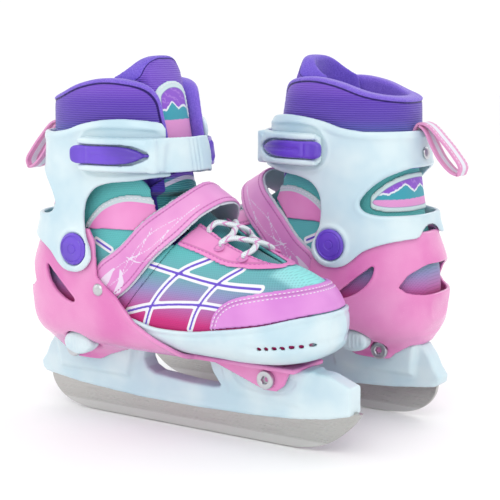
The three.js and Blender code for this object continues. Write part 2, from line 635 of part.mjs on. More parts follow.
function buckleFrame() {
  const band = layer(FRAME_INNER, FRAME_OUTER).intersect(box(66, 200, -100, FRAME_END_Y, ...BAND_Z));
  const foot = layer(CUFF_OUTER + GAP, FRAME_OUTER)
    .intersect(outerSide(66, 98, BAND_Z[0] + 3, BAND_Z[1] - 3));
  const wallEnd = LEVER_PIN.x + 4.5;
  const walls = [[BAND_Z[0] + 1, LEVER_Z[0] - 0.8], [LEVER_Z[1] + 0.8, BAND_Z[1] - 1]].map((z) =>
    layer(FRAME_OUTER - 1, FRAME_OUTER + LEVER_THICKNESS).intersect(outerSide(68, wallEnd, ...z)));
  return band.add(foot).add(walls[0]).add(walls[1]).subtract(pinBore());
}

// The lever follows the frame's curve. Its front end is round about the pin, to clear the frame as it opens.
function buckleLever() {
  const [low, high] = LEVER_Z;
  const middle = (low + high) / 2;
  const side = [
    [63, middle], [64.5, high - 2.5], [69, high], [LEVER_PIN.x - 2.2, high],
    [LEVER_PIN.x - 2.2, low], [69, low], [64.5, low + 2.5],
  ];
  const nose = turned(
    [[0, low], [LEVER_NOSE_R, low], [LEVER_NOSE_R, high], [0, high]],
    14, "z", LEVER_PIN.x, -pinPlace(), 0);
  return layer(FRAME_OUTER + GAP, FRAME_OUTER + GAP + LEVER_THICKNESS)
    .intersect(sidePrism(side, -100, -8))
    .add(nose)
    .subtract(pinBore());
}

function leverPin() {
  const [low, high] = [BAND_Z[0] + 1.5, BAND_Z[1] - 1.5];
  return turned(
    [[0, low], [LEVER_PIN.r, low], [LEVER_PIN.r, high], [0, high]],
    12, "z", LEVER_PIN.x, -pinPlace(), 0);
}

// The toothed strap is fixed on the cuff's inner side, crosses the front and runs in under the frame.
function ladderStrap() {
  const band = layer(LADDER_INNER, LADDER_INNER + LADDER_THICKNESS);
  const inner = box(84, 200, -20, 100, ...LADDER_Z);
  const tail = box(101, 200, -100, -19, ...LADDER_Z);
  return band.intersect(inner.add(tail));
}

// ---------------------------------------------------------------- pull loop
const LOOP_RIVET_Z = 199;
const LOOP_HALF_WIDTH = 7.5;
const WEBBING = 1.8;
// The webbing's two strands in (x, z): both leave between collar and cuff, and meet in the fold behind.
const OUTER_STRAND = [
  [12, 191], [12.3, 205], [12.8, 215], [9, 220.6], [2.5, 219.5], [-8, 210], [-18, 199], [-24, 190],
  [-22.5, 184.5],
];
const INNER_STRAND = [[-22.5, 184.5], [-17, 186.5], [-8, 195], [-1, 206], [4, 215.5], [8.4, 219.4]];

function webbing(points, steps) {
  const curve = new THREE.CatmullRomCurve3(
    points.map(([x, z]) => new THREE.Vector3(x, z, 0)), false, "centripetal");
  const edge = (t, half) => {
    const p = curve.getPoint(t);
    const d = curve.getTangent(t);
    return [p.x - d.y * half, p.y + d.x * half];
  };
  const along = Array.from({ length: steps + 1 }, (_, i) => i / steps);
  const left = along.map((t) => edge(t, WEBBING / 2));
  const right = along.map((t) => edge(t, -WEBBING / 2)).reverse();
  return sidePrism([...left, ...right], -LOOP_HALF_WIDTH, LOOP_HALF_WIDTH);
}

function pullLoop() {
  return webbing(OUTER_STRAND, 16)
    .add(webbing(INNER_STRAND, 10))
    .subtract(boot(COLLAR_OUTER + FIT).intersect(box(0, 40, -30, 30, 100, 240)))
    .subtract(layer(CUFF_INNER - FIT, CUFF_OUTER + FIT).intersect(box(-40, 40, -30, 30, 100, 216 + FIT)))
    .subtract(loopRod(2 + FIT, -10, 30));
}

// A rod along x at the loop rivet's height.
function loopRod(r, x0, x1) {
  return turned([[0, x0], [r, x0], [r, x1], [0, x1]], 12, "x", 0, 0, LOOP_RIVET_Z);
}

function loopRivet() {
  const rear = box(-40, 40, -30, 30, 150, 240);
  const head = layer(CUFF_OUTER + FIT, CUFF_OUTER + 2).intersect(loopRod(4, -40, 40));
  const shank = layer(COLLAR_OUTER + 0.6, CUFF_OUTER + 1).intersect(loopRod(2, -40, 40));
  return head.add(shank).intersect(rear);
}

// ---------------------------------------------------------------- materials
const finish = (color, roughness, metalness = 0) => ({ color, roughness, metalness });
const FINISHES = {
  steel: finish(0xc9cac8, 0.28, 1),
  zinc: finish(0xd0d2d4, 0.35, 1),
  white: finish(0xdff2f7, 0.32),
  pink: finish(0xf29ad0, 0.3),
  purple: finish(0x6f45d8, 0.4),
  teal: finish(0x67b9ba, 0.85),
  fleece: finish(0x6a4fd0, 0.95),
  vinyl: finish(0xe79be0, 0.45),
  webbing: finish(0xf3b3dc, 0.9),
  cotton: finish(0xf4f2fb, 0.9),
  foam: finish(0xe6e4ee, 0.95),
};

// ---------------------------------------------------------------- one skate
function skateNodes() {
  return {
    blade: [blade(), "steel"],
    blade_holder: [bladeHolder(), "white"],
    heel_shell: [heelShell(), "pink"],
    front_bolt: [bolt(FRONT_BOLT, FRONT_CHEEK), "zinc"],
    front_nut: [nut(FRONT_BOLT, FRONT_CHEEK), "zinc"],
    rear_bolt: [bolt(REAR_BOLT, REAR_CHEEK), "zinc"],
    rear_nut: [nut(REAR_BOLT, REAR_CHEEK), "zinc"],
    size_button: [sizeButton(), "white"],
    button_spring: [buttonSpring(), "zinc"],
    toe_shell: [toeShell(), "white"],
    vamp: [vamp(), "teal"],
    toe_cap: [toeCap(), "vinyl"],
    bootie: [bootie(), "teal"],
    collar: [collar(), "fleece"],
    tongue: [tongue(), "fleece"],
    footbed: [footbed(), "foam"],
    lace: [lace(), "cotton"],
    instep_strap: [instepStrap(), "vinyl"],
    strap_rivet: [strapRivet(), "zinc"],
    cuff: [cuff(), "white"],
    pivot_pin_outer: [pivotPin(-1), "zinc"],
    pivot_pin_inner: [pivotPin(1), "zinc"],
    pivot_cap_outer: [pivotCap(-1), "purple"],
    pivot_cap_inner: [pivotCap(1), "purple"],
    buckle_frame: [buckleFrame(), "white"],
    buckle_lever: [buckleLever(), "purple"],
    lever_pin: [leverPin(), "zinc"],
    ladder_strap: [ladderStrap(), "purple"],
    pull_loop: [pullLoop(), "webbing"],
    loop_rivet: [loopRivet(), "zinc"],
  };
}

function makeSkate(nodes, side) {
  const group = new THREE.Group();
  for (const [name, [shape, look]] of Object.entries(nodes)) {
    const mesh = new THREE.Mesh(geometryOf(shape), new THREE.MeshStandardMaterial(FINISHES[look]));
    mesh.name = `${side}_${name}`;
    group.add(mesh);
  }
  return group;
}

const nodes = skateNodes();
const right = makeSkate(nodes, "right");
right.position.set(-SKATE_MIDDLE_X, -PAIR_SPACING / 2, 0);
const left = makeSkate(nodes, "left");
left.scale.x = -1;
left.position.set(SKATE_MIDDLE_X, PAIR_SPACING / 2, 0);

// The pair's own frame stands on the ice with its origin under the middle of both skates together.
const pair = new THREE.Group();
pair.add(right, left);
const extent = new THREE.Box3().setFromObject(pair);
const shift = -(extent.min.y + extent.max.y) / 2;
right.position.y += shift;
left.position.y += shift;

export default pair;
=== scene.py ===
import math
import bpy
import numpy as np
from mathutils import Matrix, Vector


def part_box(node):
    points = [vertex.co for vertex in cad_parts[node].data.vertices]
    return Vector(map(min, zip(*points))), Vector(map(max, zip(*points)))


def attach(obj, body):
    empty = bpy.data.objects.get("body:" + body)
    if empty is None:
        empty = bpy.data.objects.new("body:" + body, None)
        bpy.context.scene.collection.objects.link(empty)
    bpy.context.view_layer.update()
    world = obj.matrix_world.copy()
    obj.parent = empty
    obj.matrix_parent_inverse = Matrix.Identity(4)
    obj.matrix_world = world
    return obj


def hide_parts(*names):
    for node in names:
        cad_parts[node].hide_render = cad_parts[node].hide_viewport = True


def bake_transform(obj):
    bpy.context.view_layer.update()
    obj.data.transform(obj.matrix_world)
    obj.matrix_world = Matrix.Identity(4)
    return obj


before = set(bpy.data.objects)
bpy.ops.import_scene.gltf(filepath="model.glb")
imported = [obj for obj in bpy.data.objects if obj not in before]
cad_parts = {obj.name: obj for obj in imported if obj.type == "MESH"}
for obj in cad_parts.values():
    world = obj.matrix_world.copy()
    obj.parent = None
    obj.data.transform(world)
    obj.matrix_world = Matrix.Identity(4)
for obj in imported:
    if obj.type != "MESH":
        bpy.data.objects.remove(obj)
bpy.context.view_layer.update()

import openvdb as vdb
from mathutils import Matrix, Vector

# A pair of adjustable ice skates. Each piece is shaped once in a skate's own frame, in millimetres: x forward
# from the heel, -y towards the outer side, z up from the ice. It is then set in place for the right skate,
# and mirrored in x for the left one.

pair = {"middle": 130.0, "turn": {"right": 1, "left": -1}, "centre": {}}
for side in pair["turn"]:
    low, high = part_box(side + "_blade")
    pair["centre"][side] = (low[1] + high[1]) * 500

# Camera and light.

view = {"place": (554.6, -827.5, 280.3), "heading": 33.34, "dip": 8.89, "lens": 96.2}
heading, dip = math.radians(view["heading"]), math.radians(view["dip"])
look = Vector((-math.sin(heading) * math.cos(dip), math.cos(heading) * math.cos(dip), -math.sin(dip)))
camera = bpy.data.objects.new("camera", bpy.data.cameras.new("camera"))
camera.data.lens, camera.data.clip_start, camera.data.clip_end = view["lens"], 0.01, 50
camera.location = [v / 1000 for v in view["place"]]
camera.rotation_euler = look.to_track_quat("-Z", "Y").to_euler()
bpy.context.collection.objects.link(camera)
bpy.context.scene.camera = camera
bpy.context.scene.view_settings.view_transform = "Standard"

studio = {
    "key": {"place": (0.9, -1.5, 1.6), "size": 1.3, "power": 10},
    "fill": {"place": (-1.6, -0.9, 0.9), "size": 1.2, "power": 3},
    "back": {"place": (0.3, 1.5, 1.3), "size": 1.0, "power": 4},
    "aim": (0, 0, 0.1), "world": 1.06,
}
for name in ("key", "fill", "back"):
    lamp = bpy.data.lights.new(name, "AREA")
    lamp.size, lamp.energy = studio[name]["size"], studio[name]["power"]
    stand = bpy.data.objects.new(name, lamp)
    stand.location = studio[name]["place"]
    stand.rotation_euler = (Vector(studio["aim"]) - stand.location).to_track_quat("-Z", "Y").to_euler()
    bpy.context.collection.objects.link(stand)
world = bpy.data.worlds.new("studio")
bpy.context.scene.world = world
world.use_nodes = True
world.node_tree.nodes["Background"].inputs["Color"].default_value = (1, 1, 1, 1)
world.node_tree.nodes["Background"].inputs["Strength"].default_value = studio["world"]


# Materials: a small wrapper for shader nodes.

class Value:
    def __init__(self, paint, socket):
        self.paint, self.socket = paint, socket

    def do(self, operation, *others):
        inputs = dict(enumerate((self, *others)))
        return self.paint.node("ShaderNodeMath", {"operation": operation}, inputs)

    def __add__(self, other): return self.do("ADD", other)
    def __radd__(self, other): return self.do("ADD", other)
    def __sub__(self, other): return self.do("SUBTRACT", other)
    def __rsub__(self, other):
        return self.paint.node("ShaderNodeMath", {"operation": "SUBTRACT"}, {0: other, 1: self})

    def __mul__(self, other): return self.do("MULTIPLY", other)
    def __rmul__(self, other): return self.do("MULTIPLY", other)
    def __truediv__(self, other): return self.do("DIVIDE", other)
    def __abs__(self): return self.do("ABSOLUTE")

    def sin(self): return self.do("SINE")
    def most(self, other): return self.do("MAXIMUM", other)

    def over(self, start, end):  # 0 before start, 1 after end, smooth between
        if start > end:
            return 1.0 - self.over(end, start)
        return self.paint.node("ShaderNodeMapRange", {"interpolation_type": "SMOOTHSTEP"},
                               {0: self, 1: start, 2: end, 3: 0.0, 4: 1.0})


class Paint:
    def __init__(self, name, **fixed):
        self.material = bpy.data.materials.new(name)
        self.material.use_nodes = True
        self.tree = self.material.node_tree
        self.tree.nodes.clear()
        self.shader = self.tree.nodes.new("ShaderNodeBsdfPrincipled")
        end = self.tree.nodes.new("ShaderNodeOutputMaterial")
        self.tree.links.new(self.shader.outputs[0], end.inputs[0])
        for key, value in fixed.items():
            self.shader.inputs[key.replace("_", " ")].default_value = value

    def node(self, kind, settings=None, inputs=None, output=0):
        made = self.tree.nodes.new(kind)
        for key, value in (settings or {}).items():
            if key == "stops":
                ramp = made.color_ramp
                while len(ramp.elements) < len(value):
                    ramp.elements.new(0.5)
                for element, (place, colour) in zip(ramp.elements, value):
                    element.position, element.color = place, (*colour, 1)
            else:
                setattr(made, key, value)
        for key, value in (inputs or {}).items():
            self.join(value, made.inputs[key])
        return Value(self, made.outputs[output])

    def join(self, value, socket):
        if isinstance(value, Value):
            self.tree.links.new(value.socket, socket)
        elif isinstance(value, (tuple, list)) and len(value) == 3 and socket.type == "RGBA":
            socket.default_value = (*value, 1)
        else:
            socket.default_value = value

    def fact(self, name):  # a number stored on the mesh
        return self.node("ShaderNodeAttribute", {"attribute_name": name}, output=2)

    def place(self):  # x, y and z in the skate's own frame, in millimetres
        vector = self.node("ShaderNodeAttribute", {"attribute_name": "place"}, output=1)
        parts = self.node("ShaderNodeSeparateXYZ", None, {0: vector})
        return vector, *(Value(self, parts.socket.node.outputs[i]) for i in range(3))

    def noise(self, vector, scale, detail=2.0, rough=0.5, stretch=(1, 1, 1)):
        if stretch != (1, 1, 1):
            vector = self.node("ShaderNodeVectorMath", {"operation": "MULTIPLY"}, {0: vector, 1: stretch})
        return self.node("ShaderNodeTexNoise", None,
                         {"Vector": vector, "Scale": scale, "Detail": detail, "Roughness": rough})

    def mix(self, amount, first, second, way="MIX"):
        return self.node("ShaderNodeMix", {"data_type": "RGBA", "blend_type": way, "clamp_factor": True},
                         {0: amount, 6: first, 7: second}, output=2)

    def ramp(self, amount, stops):
        return self.node("ShaderNodeValToRGB", {"stops": stops}, {0: amount})

    def bump(self, height, strength, distance=0.0004):
        made = self.node("ShaderNodeBump", None,
                         {"Strength": strength, "Distance": distance, "Height": height})
        self.join(made, self.shader.inputs["Normal"])

    def set(self, key, value):
        self.join(value, self.shader.inputs[key])


paleness = 0.87  # every colour is taken down by this, so that the lamps do not burn it out


def rgb(red, green, blue):  # display colour, 0 to 255, as the shader wants it
    return tuple(paleness * ((v / 255 + 0.055) / 1.055) ** 2.4 for v in (red, green, blue))


colours = {
    "white": rgb(222, 240, 245), "whiteShade": rgb(196, 224, 236), "pink": rgb(238, 150, 205),
    "pinkDeep": rgb(228, 120, 190), "purple": rgb(112, 72, 214), "purpleDeep": rgb(84, 50, 176),
    "teal": rgb(84, 166, 172), "tealDeep": rgb(48, 118, 128), "thread": rgb(246, 240, 250),
}


def moulded(name, base, shade, rough, scuff=0.35):
    paint = Paint(name, Specular_IOR_Level=0.5, Coat_Weight=0.25, Coat_Roughness=0.15)
    vector, x, y, z = paint.place()
    cloud = paint.noise(vector, 0.02, 3)
    fine = paint.noise(vector, 2.6, 3, 0.6)
    scratch = paint.noise(vector, 0.9, 5, 0.72, (0.35, 1, 2.2))
    worn = scratch.over(0.62, 0.74) * scuff
    colour = paint.mix(cloud.over(0.35, 0.65), base, shade)
    paint.set("Base Color", paint.mix(worn * 0.3, colour, (0.9, 0.9, 0.92)))
    paint.set("Roughness", worn * 0.3 + (fine * 0.08 + rough))
    paint.bump(fine * 0.5 + scratch * 0.35, 0.06)
    return paint


def woven(name, base, deep, pitch=1.1, depth=0.5):
    paint = Paint(name, Sheen_Weight=0.25, Sheen_Roughness=0.5, Specular_IOR_Level=0.25)
    vector, x, y, z = paint.place()
    along = (x + y * 0.6) * (math.tau / pitch)
    up = z * (math.tau / pitch)
    weave = along.sin() * up.sin()
    fuzz = paint.noise(vector, 1.8, 3, 0.7)
    colour = paint.mix(weave.over(-0.6, 0.7) * 0.55 + fuzz * 0.3, deep, base)
    paint.set("Base Color", colour)
    paint.set("Roughness", fuzz * 0.2 + 0.72)
    paint.bump(weave * depth + fuzz * 0.3, 0.35)
    return paint


def metal(name, base, rough, stretch):
    paint = Paint(name, Metallic=1.0)
    vector, x, y, z = paint.place()
    lines = paint.noise(vector, 1.5, 4, 0.6, stretch)
    cloud = paint.noise(vector, 0.03, 2)
    paint.set("Base Color", paint.mix(lines.over(0.3, 0.7) * 0.4, base, tuple(v * 0.8 for v in base)))
    paint.set("Roughness", lines * 0.18 + cloud * 0.1 + rough)
    paint.bump(lines, 0.05, 0.0002)
    return paint


def steelPaint():
    paint = metal("runnerSteel", rgb(206, 206, 202), 0.16, (0.03, 1, 1.2))
    vector, x, y, z = paint.place()
    lines = paint.noise(vector, 2.2, 4, 0.6, (0.02, 1, 1.4))
    ground = z.over(7.5, 5.5)  # the freshly ground band above the edge
    drawn = paint.mix(lines, rgb(214, 213, 208), rgb(176, 176, 174))
    paint.set("Base Color", paint.mix(ground * 0.6, drawn, rgb(228, 228, 226)))
    paint.set("Roughness", lines * 0.2 + ground * 0.08 + 0.17)
    return paint


def upperPaint():  # teal at the instep, through lavender to magenta at the sole, with printed stripes
    paint = Paint("upperFabric", Sheen_Weight=0.2, Sheen_Roughness=0.4, Specular_IOR_Level=0.3)
    vector, x, y, z = paint.place()
    height = z + (x - 150.0) * 0.02
    fuzz = paint.noise(vector, 1.4, 3, 0.7)
    shade = (height + (fuzz * 5.0 - 2.5) - 76.0) / 60.0
    colour = paint.ramp(shade, [
        (0.0, rgb(196, 22, 104)), (0.2, rgb(212, 48, 132)), (0.38, rgb(190, 110, 180)),
        (0.55, rgb(152, 150, 200)), (0.72, rgb(112, 176, 186)), (1.0, rgb(100, 196, 196))])
    top = paint.fact("toeTop")
    colour = paint.mix(top.over(0.0, 1.0), colour, paint.ramp((y + 30.0) / 60.0, [
        (0.0, rgb(160, 215, 222)), (0.45, rgb(150, 238, 236)), (1.0, rgb(130, 225, 226))]))
    ribs = ((x * 0.5 + z * 0.86) * (math.tau / 1.5)).sin() * ((x * 0.86 - z * 0.5) * (math.tau / 2.6)).sin()
    colour = paint.mix(ribs.over(-0.2, 0.9) * 0.22, colour, rgb(60, 60, 92))
    stripe = abs(paint.fact("stripe"))
    colour = paint.mix(stripe.over(2.8, 2.4), colour, rgb(246, 246, 252))
    colour = paint.mix(stripe.over(0.95, 0.6), colour, rgb(112, 82, 206))
    paint.set("Base Color", colour)
    paint.set("Roughness", 0.62 + fuzz * 0.2)
    paint.bump(ribs * 0.6 + fuzz * 0.4 + stripe.over(2.9, 2.5) * 2.0, 0.3)
    return paint


def vinylPaint(name, base, deep, drawn=False, border=0.0):
    paint = Paint(name, Specular_IOR_Level=0.45, Coat_Weight=0.12, Coat_Roughness=0.3)
    vector, x, y, z = paint.place()
    grain = paint.node("ShaderNodeTexVoronoi", None, {"Vector": vector, "Scale": 1.5})
    cloud = paint.noise(vector, 0.03, 2)
    colour = paint.mix(cloud.over(0.3, 0.7), base, deep)
    # painted shade: the seam groove 3.2 mm in from the edge (dented by the bump below) is also painted dark,
    # with the vinyl's deep colour at 0.45 brightness
    seam = abs(paint.fact("rim") - 3.2)
    colour = paint.mix(seam.over(0.9, 0.2) * 0.45, colour, tuple(v * 0.45 for v in deep))
    if drawn:
        line = paint.fact("line")
        colour = paint.mix(line.over(0.55, 0.25) * 0.8, colour, rgb(240, 236, 250))
    if border:
        colour = paint.mix(paint.fact("rim").over(border + 0.3, border - 0.1), colour, rgb(206, 220, 226))
    paint.set("Base Color", colour)
    paint.set("Roughness", 0.36 + grain * 0.1 + cloud * 0.08)
    paint.bump(grain * 0.5 - seam.over(0.9, 0.1) * 1.6, 0.22)
    return paint


def collarPaint():  # ribbed outside, plush rolled over the rim and down inside
    paint = Paint("collarFabric", Sheen_Weight=0.35, Sheen_Roughness=0.45, Specular_IOR_Level=0.2)
    vector, x, y, z = paint.place()
    rim, depth = paint.fact("rim"), paint.fact("depth")
    inside = depth.over(1.2, 0.2)
    plush = inside.most(rim.over(3.6, 3.0))
    fuzz = paint.noise(vector, 1.1, 5, 0.8)
    ribs = (z * (math.tau / 1.6)).sin()
    ribbed = paint.ramp((z - 214.0) / 34.0, [
        (0.0, rgb(96, 112, 196)), (0.3, rgb(92, 70, 178)), (0.7, rgb(96, 62, 186)),
        (1.0, rgb(126, 84, 208))])
    ribbed = paint.mix(ribs.over(0.2, 0.9) * 0.4, ribbed, rgb(150, 124, 214))
    fleece = paint.mix(fuzz.over(0.3, 0.75), rgb(112, 84, 208), rgb(158, 128, 240))
    colour = paint.mix(plush, ribbed, fleece)
    # painted shade: the seam groove 3.6 mm in from the rim, already dented into the shape, is also painted
    # dark purple on the outside
    seam = abs(rim - 3.6).over(0.9, 0.4) * (1.0 - inside)
    colour = paint.mix(seam, colour, rgb(48, 26, 110))
    paint.set("Base Color", colour)
    paint.set("Roughness", 0.8 + fuzz * 0.15)
    paint.bump(ribs * 0.8 * (1.0 - plush) + fuzz * 1.6 * plush + fuzz * 0.4, 0.5, 0.0006)
    return paint


def tonguePaint():
    paint = Paint("tongueFabric", Sheen_Weight=0.3, Sheen_Roughness=0.45, Specular_IOR_Level=0.2)
    vector, x, y, z = paint.place()
    rim, depth = paint.fact("rim"), paint.fact("depth")
    inside = depth.over(-8.6, -9.6)
    plush = inside.most(rim.over(3.4, 2.9))
    fuzz = paint.noise(vector, 1.1, 5, 0.8)
    ribs = (z * (math.tau / 1.5)).sin()
    ribbed = paint.mix(ribs.over(0.1, 0.9) * 0.4, rgb(122, 84, 204), rgb(164, 134, 232))
    colour = paint.mix(plush, ribbed, paint.mix(fuzz.over(0.3, 0.75), rgb(98, 74, 200), rgb(150, 122, 238)))
    # painted shade: the seam groove 3.4 mm in from the edge, already dented into the shape, is also painted
    # dark purple on the outside
    colour = paint.mix(abs(rim - 3.4).over(0.8, 0.3) * (1.0 - inside), colour, rgb(54, 34, 130))
    low = z.over(186.0, 182.0) * (1.0 - inside)
    edge = abs(z - 184.0 + y * y * 0.014).over(1.7, 1.2) * (1.0 - inside) * abs(y).over(18.2, 17.6)
    knit = paint.mix(ribs.over(0.0, 0.9), rgb(58, 140, 150), rgb(96, 182, 186))
    knit = paint.mix(abs(y).over(17.6, 18.2), knit, rgb(74, 54, 168))
    colour = paint.mix(low, colour, knit)
    colour = paint.mix(edge, colour, rgb(226, 218, 246))
    paint.set("Base Color", colour)
    paint.set("Roughness", 0.8 + fuzz * 0.15)
    paint.bump(ribs * 0.8 * (1.0 - plush) + fuzz * 1.6 * plush + fuzz * 0.4, 0.5, 0.0006)
    return paint


def badgePaint(name, size):  # a sewn badge: sky with faint hills, a ridge with two peaks, lake and meadow
    paint = Paint(name, Specular_IOR_Level=0.3, Sheen_Weight=0.1)
    vector, x, y, z = paint.place()
    weave = ((x + y) * (math.tau / 0.9)).sin() * (z * (math.tau / 0.9)).sin()
    ragged = paint.noise(vector, 0.3, 3) - 0.5
    low = size["shore"] + size["base"]
    slopes = [(1.0 - abs(y - at) / wide).most(0.0) * tall + low for at, wide, tall in size["peaks"]]
    ridge = slopes[0].most(slopes[1])
    above = z - (ridge + ragged * 2.4)
    hills = (z * 0.9 + y * 0.5 + ragged * 9.0).sin().over(0.75, 0.98) * 0.5
    sky = paint.mix(hills, rgb(150, 92, 214), rgb(196, 150, 236))
    colour = paint.mix(above.over(-0.3, 0.3), rgb(64, 168, 186), sky)
    colour = paint.mix(abs(above).over(1.0, 0.5), colour, rgb(240, 246, 252))
    meadow = (z + ragged * 1.6).over(size["shore"] + 0.4, size["shore"] - 0.4)
    colour = paint.mix(meadow, colour, rgb(238, 160, 220))
    border = paint.fact("rim")
    colour = paint.mix(border.over(size["border"] + 0.4, size["border"] - 0.1), colour, rgb(216, 238, 240))
    colour = paint.mix(abs(border - size["border"] - 0.2).over(0.5, 0.2) * 0.5, colour, rgb(130, 140, 180))
    paint.set("Base Color", paint.mix(weave.over(0.0, 1.0) * 0.12, colour, rgb(60, 60, 100)))
    paint.set("Roughness", 0.6 + weave * 0.04)
    paint.bump(weave * 0.5 + border.over(size["border"] + 0.3, size["border"] - 0.3) * 1.5, 0.25)
    return paint


def cordPaint():  # round braided lace, white with pink flecks
    paint = Paint("laceCord", Sheen_Weight=0.3, Sheen_Roughness=0.5, Specular_IOR_Level=0.2)
    along, around = paint.fact("along"), paint.fact("round")
    one = (along * (math.tau / 2.6) + around * math.tau).sin()
    two = (along * (math.tau / 2.6) - around * math.tau).sin()
    braid = one * two
    fleck = (along * (math.tau / 11.0) + around * math.tau).sin().over(0.72, 0.9)
    colour = paint.mix(fleck, rgb(238, 246, 250), rgb(236, 160, 216))
    paint.set("Base Color", paint.mix(braid.over(-0.2, -0.9) * 0.35, colour, rgb(150, 160, 190)))
    paint.set("Roughness", 0.8 + braid * 0.05)
    paint.bump(braid, 0.5, 0.0005)
    return paint


def webbingPaint():  # white middle, pink edges
    paint = Paint("loopWebbing", Sheen_Weight=0.2, Specular_IOR_Level=0.3)
    vector, x, y, z = paint.place()
    along = paint.fact("along")
    ribs = (along * (math.tau / 1.2)).sin() * (y * (math.tau / 1.6)).sin()
    edge = abs(y).over(2.6, 3.2)
    colour = paint.mix(edge, rgb(240, 242, 252), rgb(238, 160, 208))
    paint.set("Base Color", paint.mix(ribs.over(0.0, 0.9) * 0.25, colour, rgb(200, 150, 200)))
    paint.set("Roughness", 0.7 + ribs * 0.06)
    paint.bump(ribs, 0.4, 0.0004)
    return paint


def plainPaint(name, base, rough, metallic=0.0):  # thread, foam, rubber and other small parts
    paint = Paint(name, Metallic=metallic, Specular_IOR_Level=0.35)
    vector, x, y, z = paint.place()
    fine = paint.noise(vector, 2.2, 3, 0.7)
    paint.set("Base Color", paint.mix(fine.over(0.35, 0.7) * 0.35, base, tuple(v * 0.72 for v in base)))
    paint.set("Roughness", rough + fine * 0.15)
    paint.bump(fine, 0.15)
    return paint


badges = {  # the lake's height, the white border, the ridge's height, and each peak's place, width and height
    "tongue": {"shore": 225.0, "border": 4.6, "base": 7.0, "peaks": ((-4.0, 7.0, 6.0), (9.0, 8.0, 3.0))},
    "heel": {"shore": 166.0, "border": 3.6, "base": 4.0, "peaks": ((-14.0, 12.0, 7.0), (6.0, 13.0, 5.5))},
}
paints = {
    "white": moulded("whitePlastic", colours["white"], colours["whiteShade"], 0.27),
    "pink": moulded("pinkPlastic", colours["pink"], colours["pinkDeep"], 0.22),
    "purple": moulded("purplePlastic", colours["purple"], colours["purpleDeep"], 0.3),
    "zinc": metal("zincPlate", rgb(214, 216, 220), 0.18, (1, 1, 1)),
    "steel": steelPaint(),
    "upper": upperPaint(),
    "knit": woven("tealKnit", colours["teal"], colours["tealDeep"], 1.4, 0.6),
    "capVinyl": vinylPaint("capVinyl", rgb(230, 152, 226), rgb(214, 128, 214)),
    "stayVinyl": vinylPaint("stayVinyl", rgb(244, 156, 214), rgb(236, 132, 200)),
    "panelVinyl": vinylPaint("panelVinyl", rgb(244, 156, 214), rgb(236, 132, 200), border=4.6),
    "strapVinyl": vinylPaint("strapVinyl", rgb(240, 164, 220), rgb(228, 142, 210), drawn=True),
    "collar": collarPaint(),
    "tongue": tonguePaint(),
    "tongueBadge": badgePaint("tongueBadge", badges["tongue"]),
    "heelBadge": badgePaint("heelBadge", badges["heel"]),
    "cord": cordPaint(),
    "webbing": webbingPaint(),
    "thread": plainPaint("sewingThread", colours["thread"], 0.7),
    "pinkThread": plainPaint("pinkThread", rgb(214, 108, 190), 0.7),
    "backing": plainPaint("strapBacking", rgb(214, 220, 230), 0.8),
    "foam": plainPaint("footbedCloth", rgb(214, 220, 234), 0.85),
    "eyeletRing": plainPaint("eyeletRing", rgb(222, 140, 200), 0.3),
}
print("materials made:", len(paints))


# One skate as distance fields in a grid: negative inside, in millimetres.

grid = {"step": 1.1, "low": (-42, -64, 15), "count": (282, 129, 248)}  # low is in steps
step = grid["step"]
axes = [(np.arange(n) + a) * np.float32(step) for a, n in zip(grid["low"], grid["count"])]
gridLow = np.array([a[0] for a in axes])

boot = {
    "foot": [  # x, half width, lowest and highest point
        (-1, 13, 78, 116), (5, 24, 68, 127), (20, 32.5, 64.2, 141), (50, 38.5, 64, 156),
        (85, 41.5, 64, 168), (120, 41.5, 64, 171), (145, 41.5, 64, 158), (170, 42.8, 64, 142.5),
        (195, 44, 64, 131.5), (217, 40.5, 65.5, 124.5), (233, 31.5, 69, 117.5), (241, 22.5, 73, 110),
        (245.5, 11, 79, 100)],
    "leg": [  # z, rearmost and foremost point, half width
        (96, -0.5, 108, 33), (118, 1, 120, 37.4), (150, 10, 127, 38.2), (180, 15.3, 124, 36.4),
        (216, 18.8, 118, 36.6), (276, 20, 107, 37.2), (292, 20.3, 104, 37.4)],
    "widest": 0.42, "widestTop": 92, "sole": 3.2, "instep": 2.15, "legRound": 2.5, "crown": 17,
    "ankleFillet": 9.0,
}
ankle = np.array((58.0, 133.0))


def curveThrough(points, each=8, closed=False):  # a smooth curve through points of any dimension
    p = np.array(points, float)
    p = np.vstack([p[-1:], p, p[:2]]) if closed else np.vstack([2 * p[0] - p[1], p, 2 * p[-1] - p[-2]])
    out = []
    for a, b, c, d in zip(p, p[1:], p[2:], p[3:]):
        gaps = [max(np.linalg.norm(n - m), 1e-6) ** 0.5 for m, n in ((a, b), (b, c), (c, d))]
        knots = np.cumsum([0.0] + gaps)
        t = (knots[1] + (knots[2] - knots[1]) * np.arange(each) / each)[:, None]

        def between(m, n, i, j):
            return (m * (knots[j] - t) + n * (t - knots[i])) / (knots[j] - knots[i])
        ab, bc, cd = between(a, b, 0, 1), between(b, c, 1, 2), between(c, d, 2, 3)
        abc, bcd = between(ab, bc, 0, 2), between(bc, cd, 1, 3)
        out.append(between(abc, bcd, 1, 2))
    return np.vstack(out) if closed else np.vstack(out + [p[-2:-1]])


def superellipse(angle, top, bottom):
    c, s = np.cos(angle), np.sin(angle)
    power = np.where(s > 0, 2 / top, 2 / bottom)
    return np.sign(c) * np.abs(c) ** power, np.sign(s) * np.abs(s) ** power


ringSides = 112


def footRings(crown):
    angle = np.arange(ringSides) * math.tau / ringSides
    out = []
    for x, w, low, high in curveThrough(boot["foot"], 12):
        if 100 < x < 190:
            high += crown * min(1, (x - 100) / 12, (190 - x) / 12)
        widest = min(low + boot["widest"] * (high - low), boot["widestTop"])
        c, s = superellipse(angle, boot["instep"], boot["sole"])
        z = widest + np.where(s > 0, (high - widest) * s, (widest - low) * s)
        out.append(np.stack([np.full_like(c, x), w * c, z], 1))
    return out


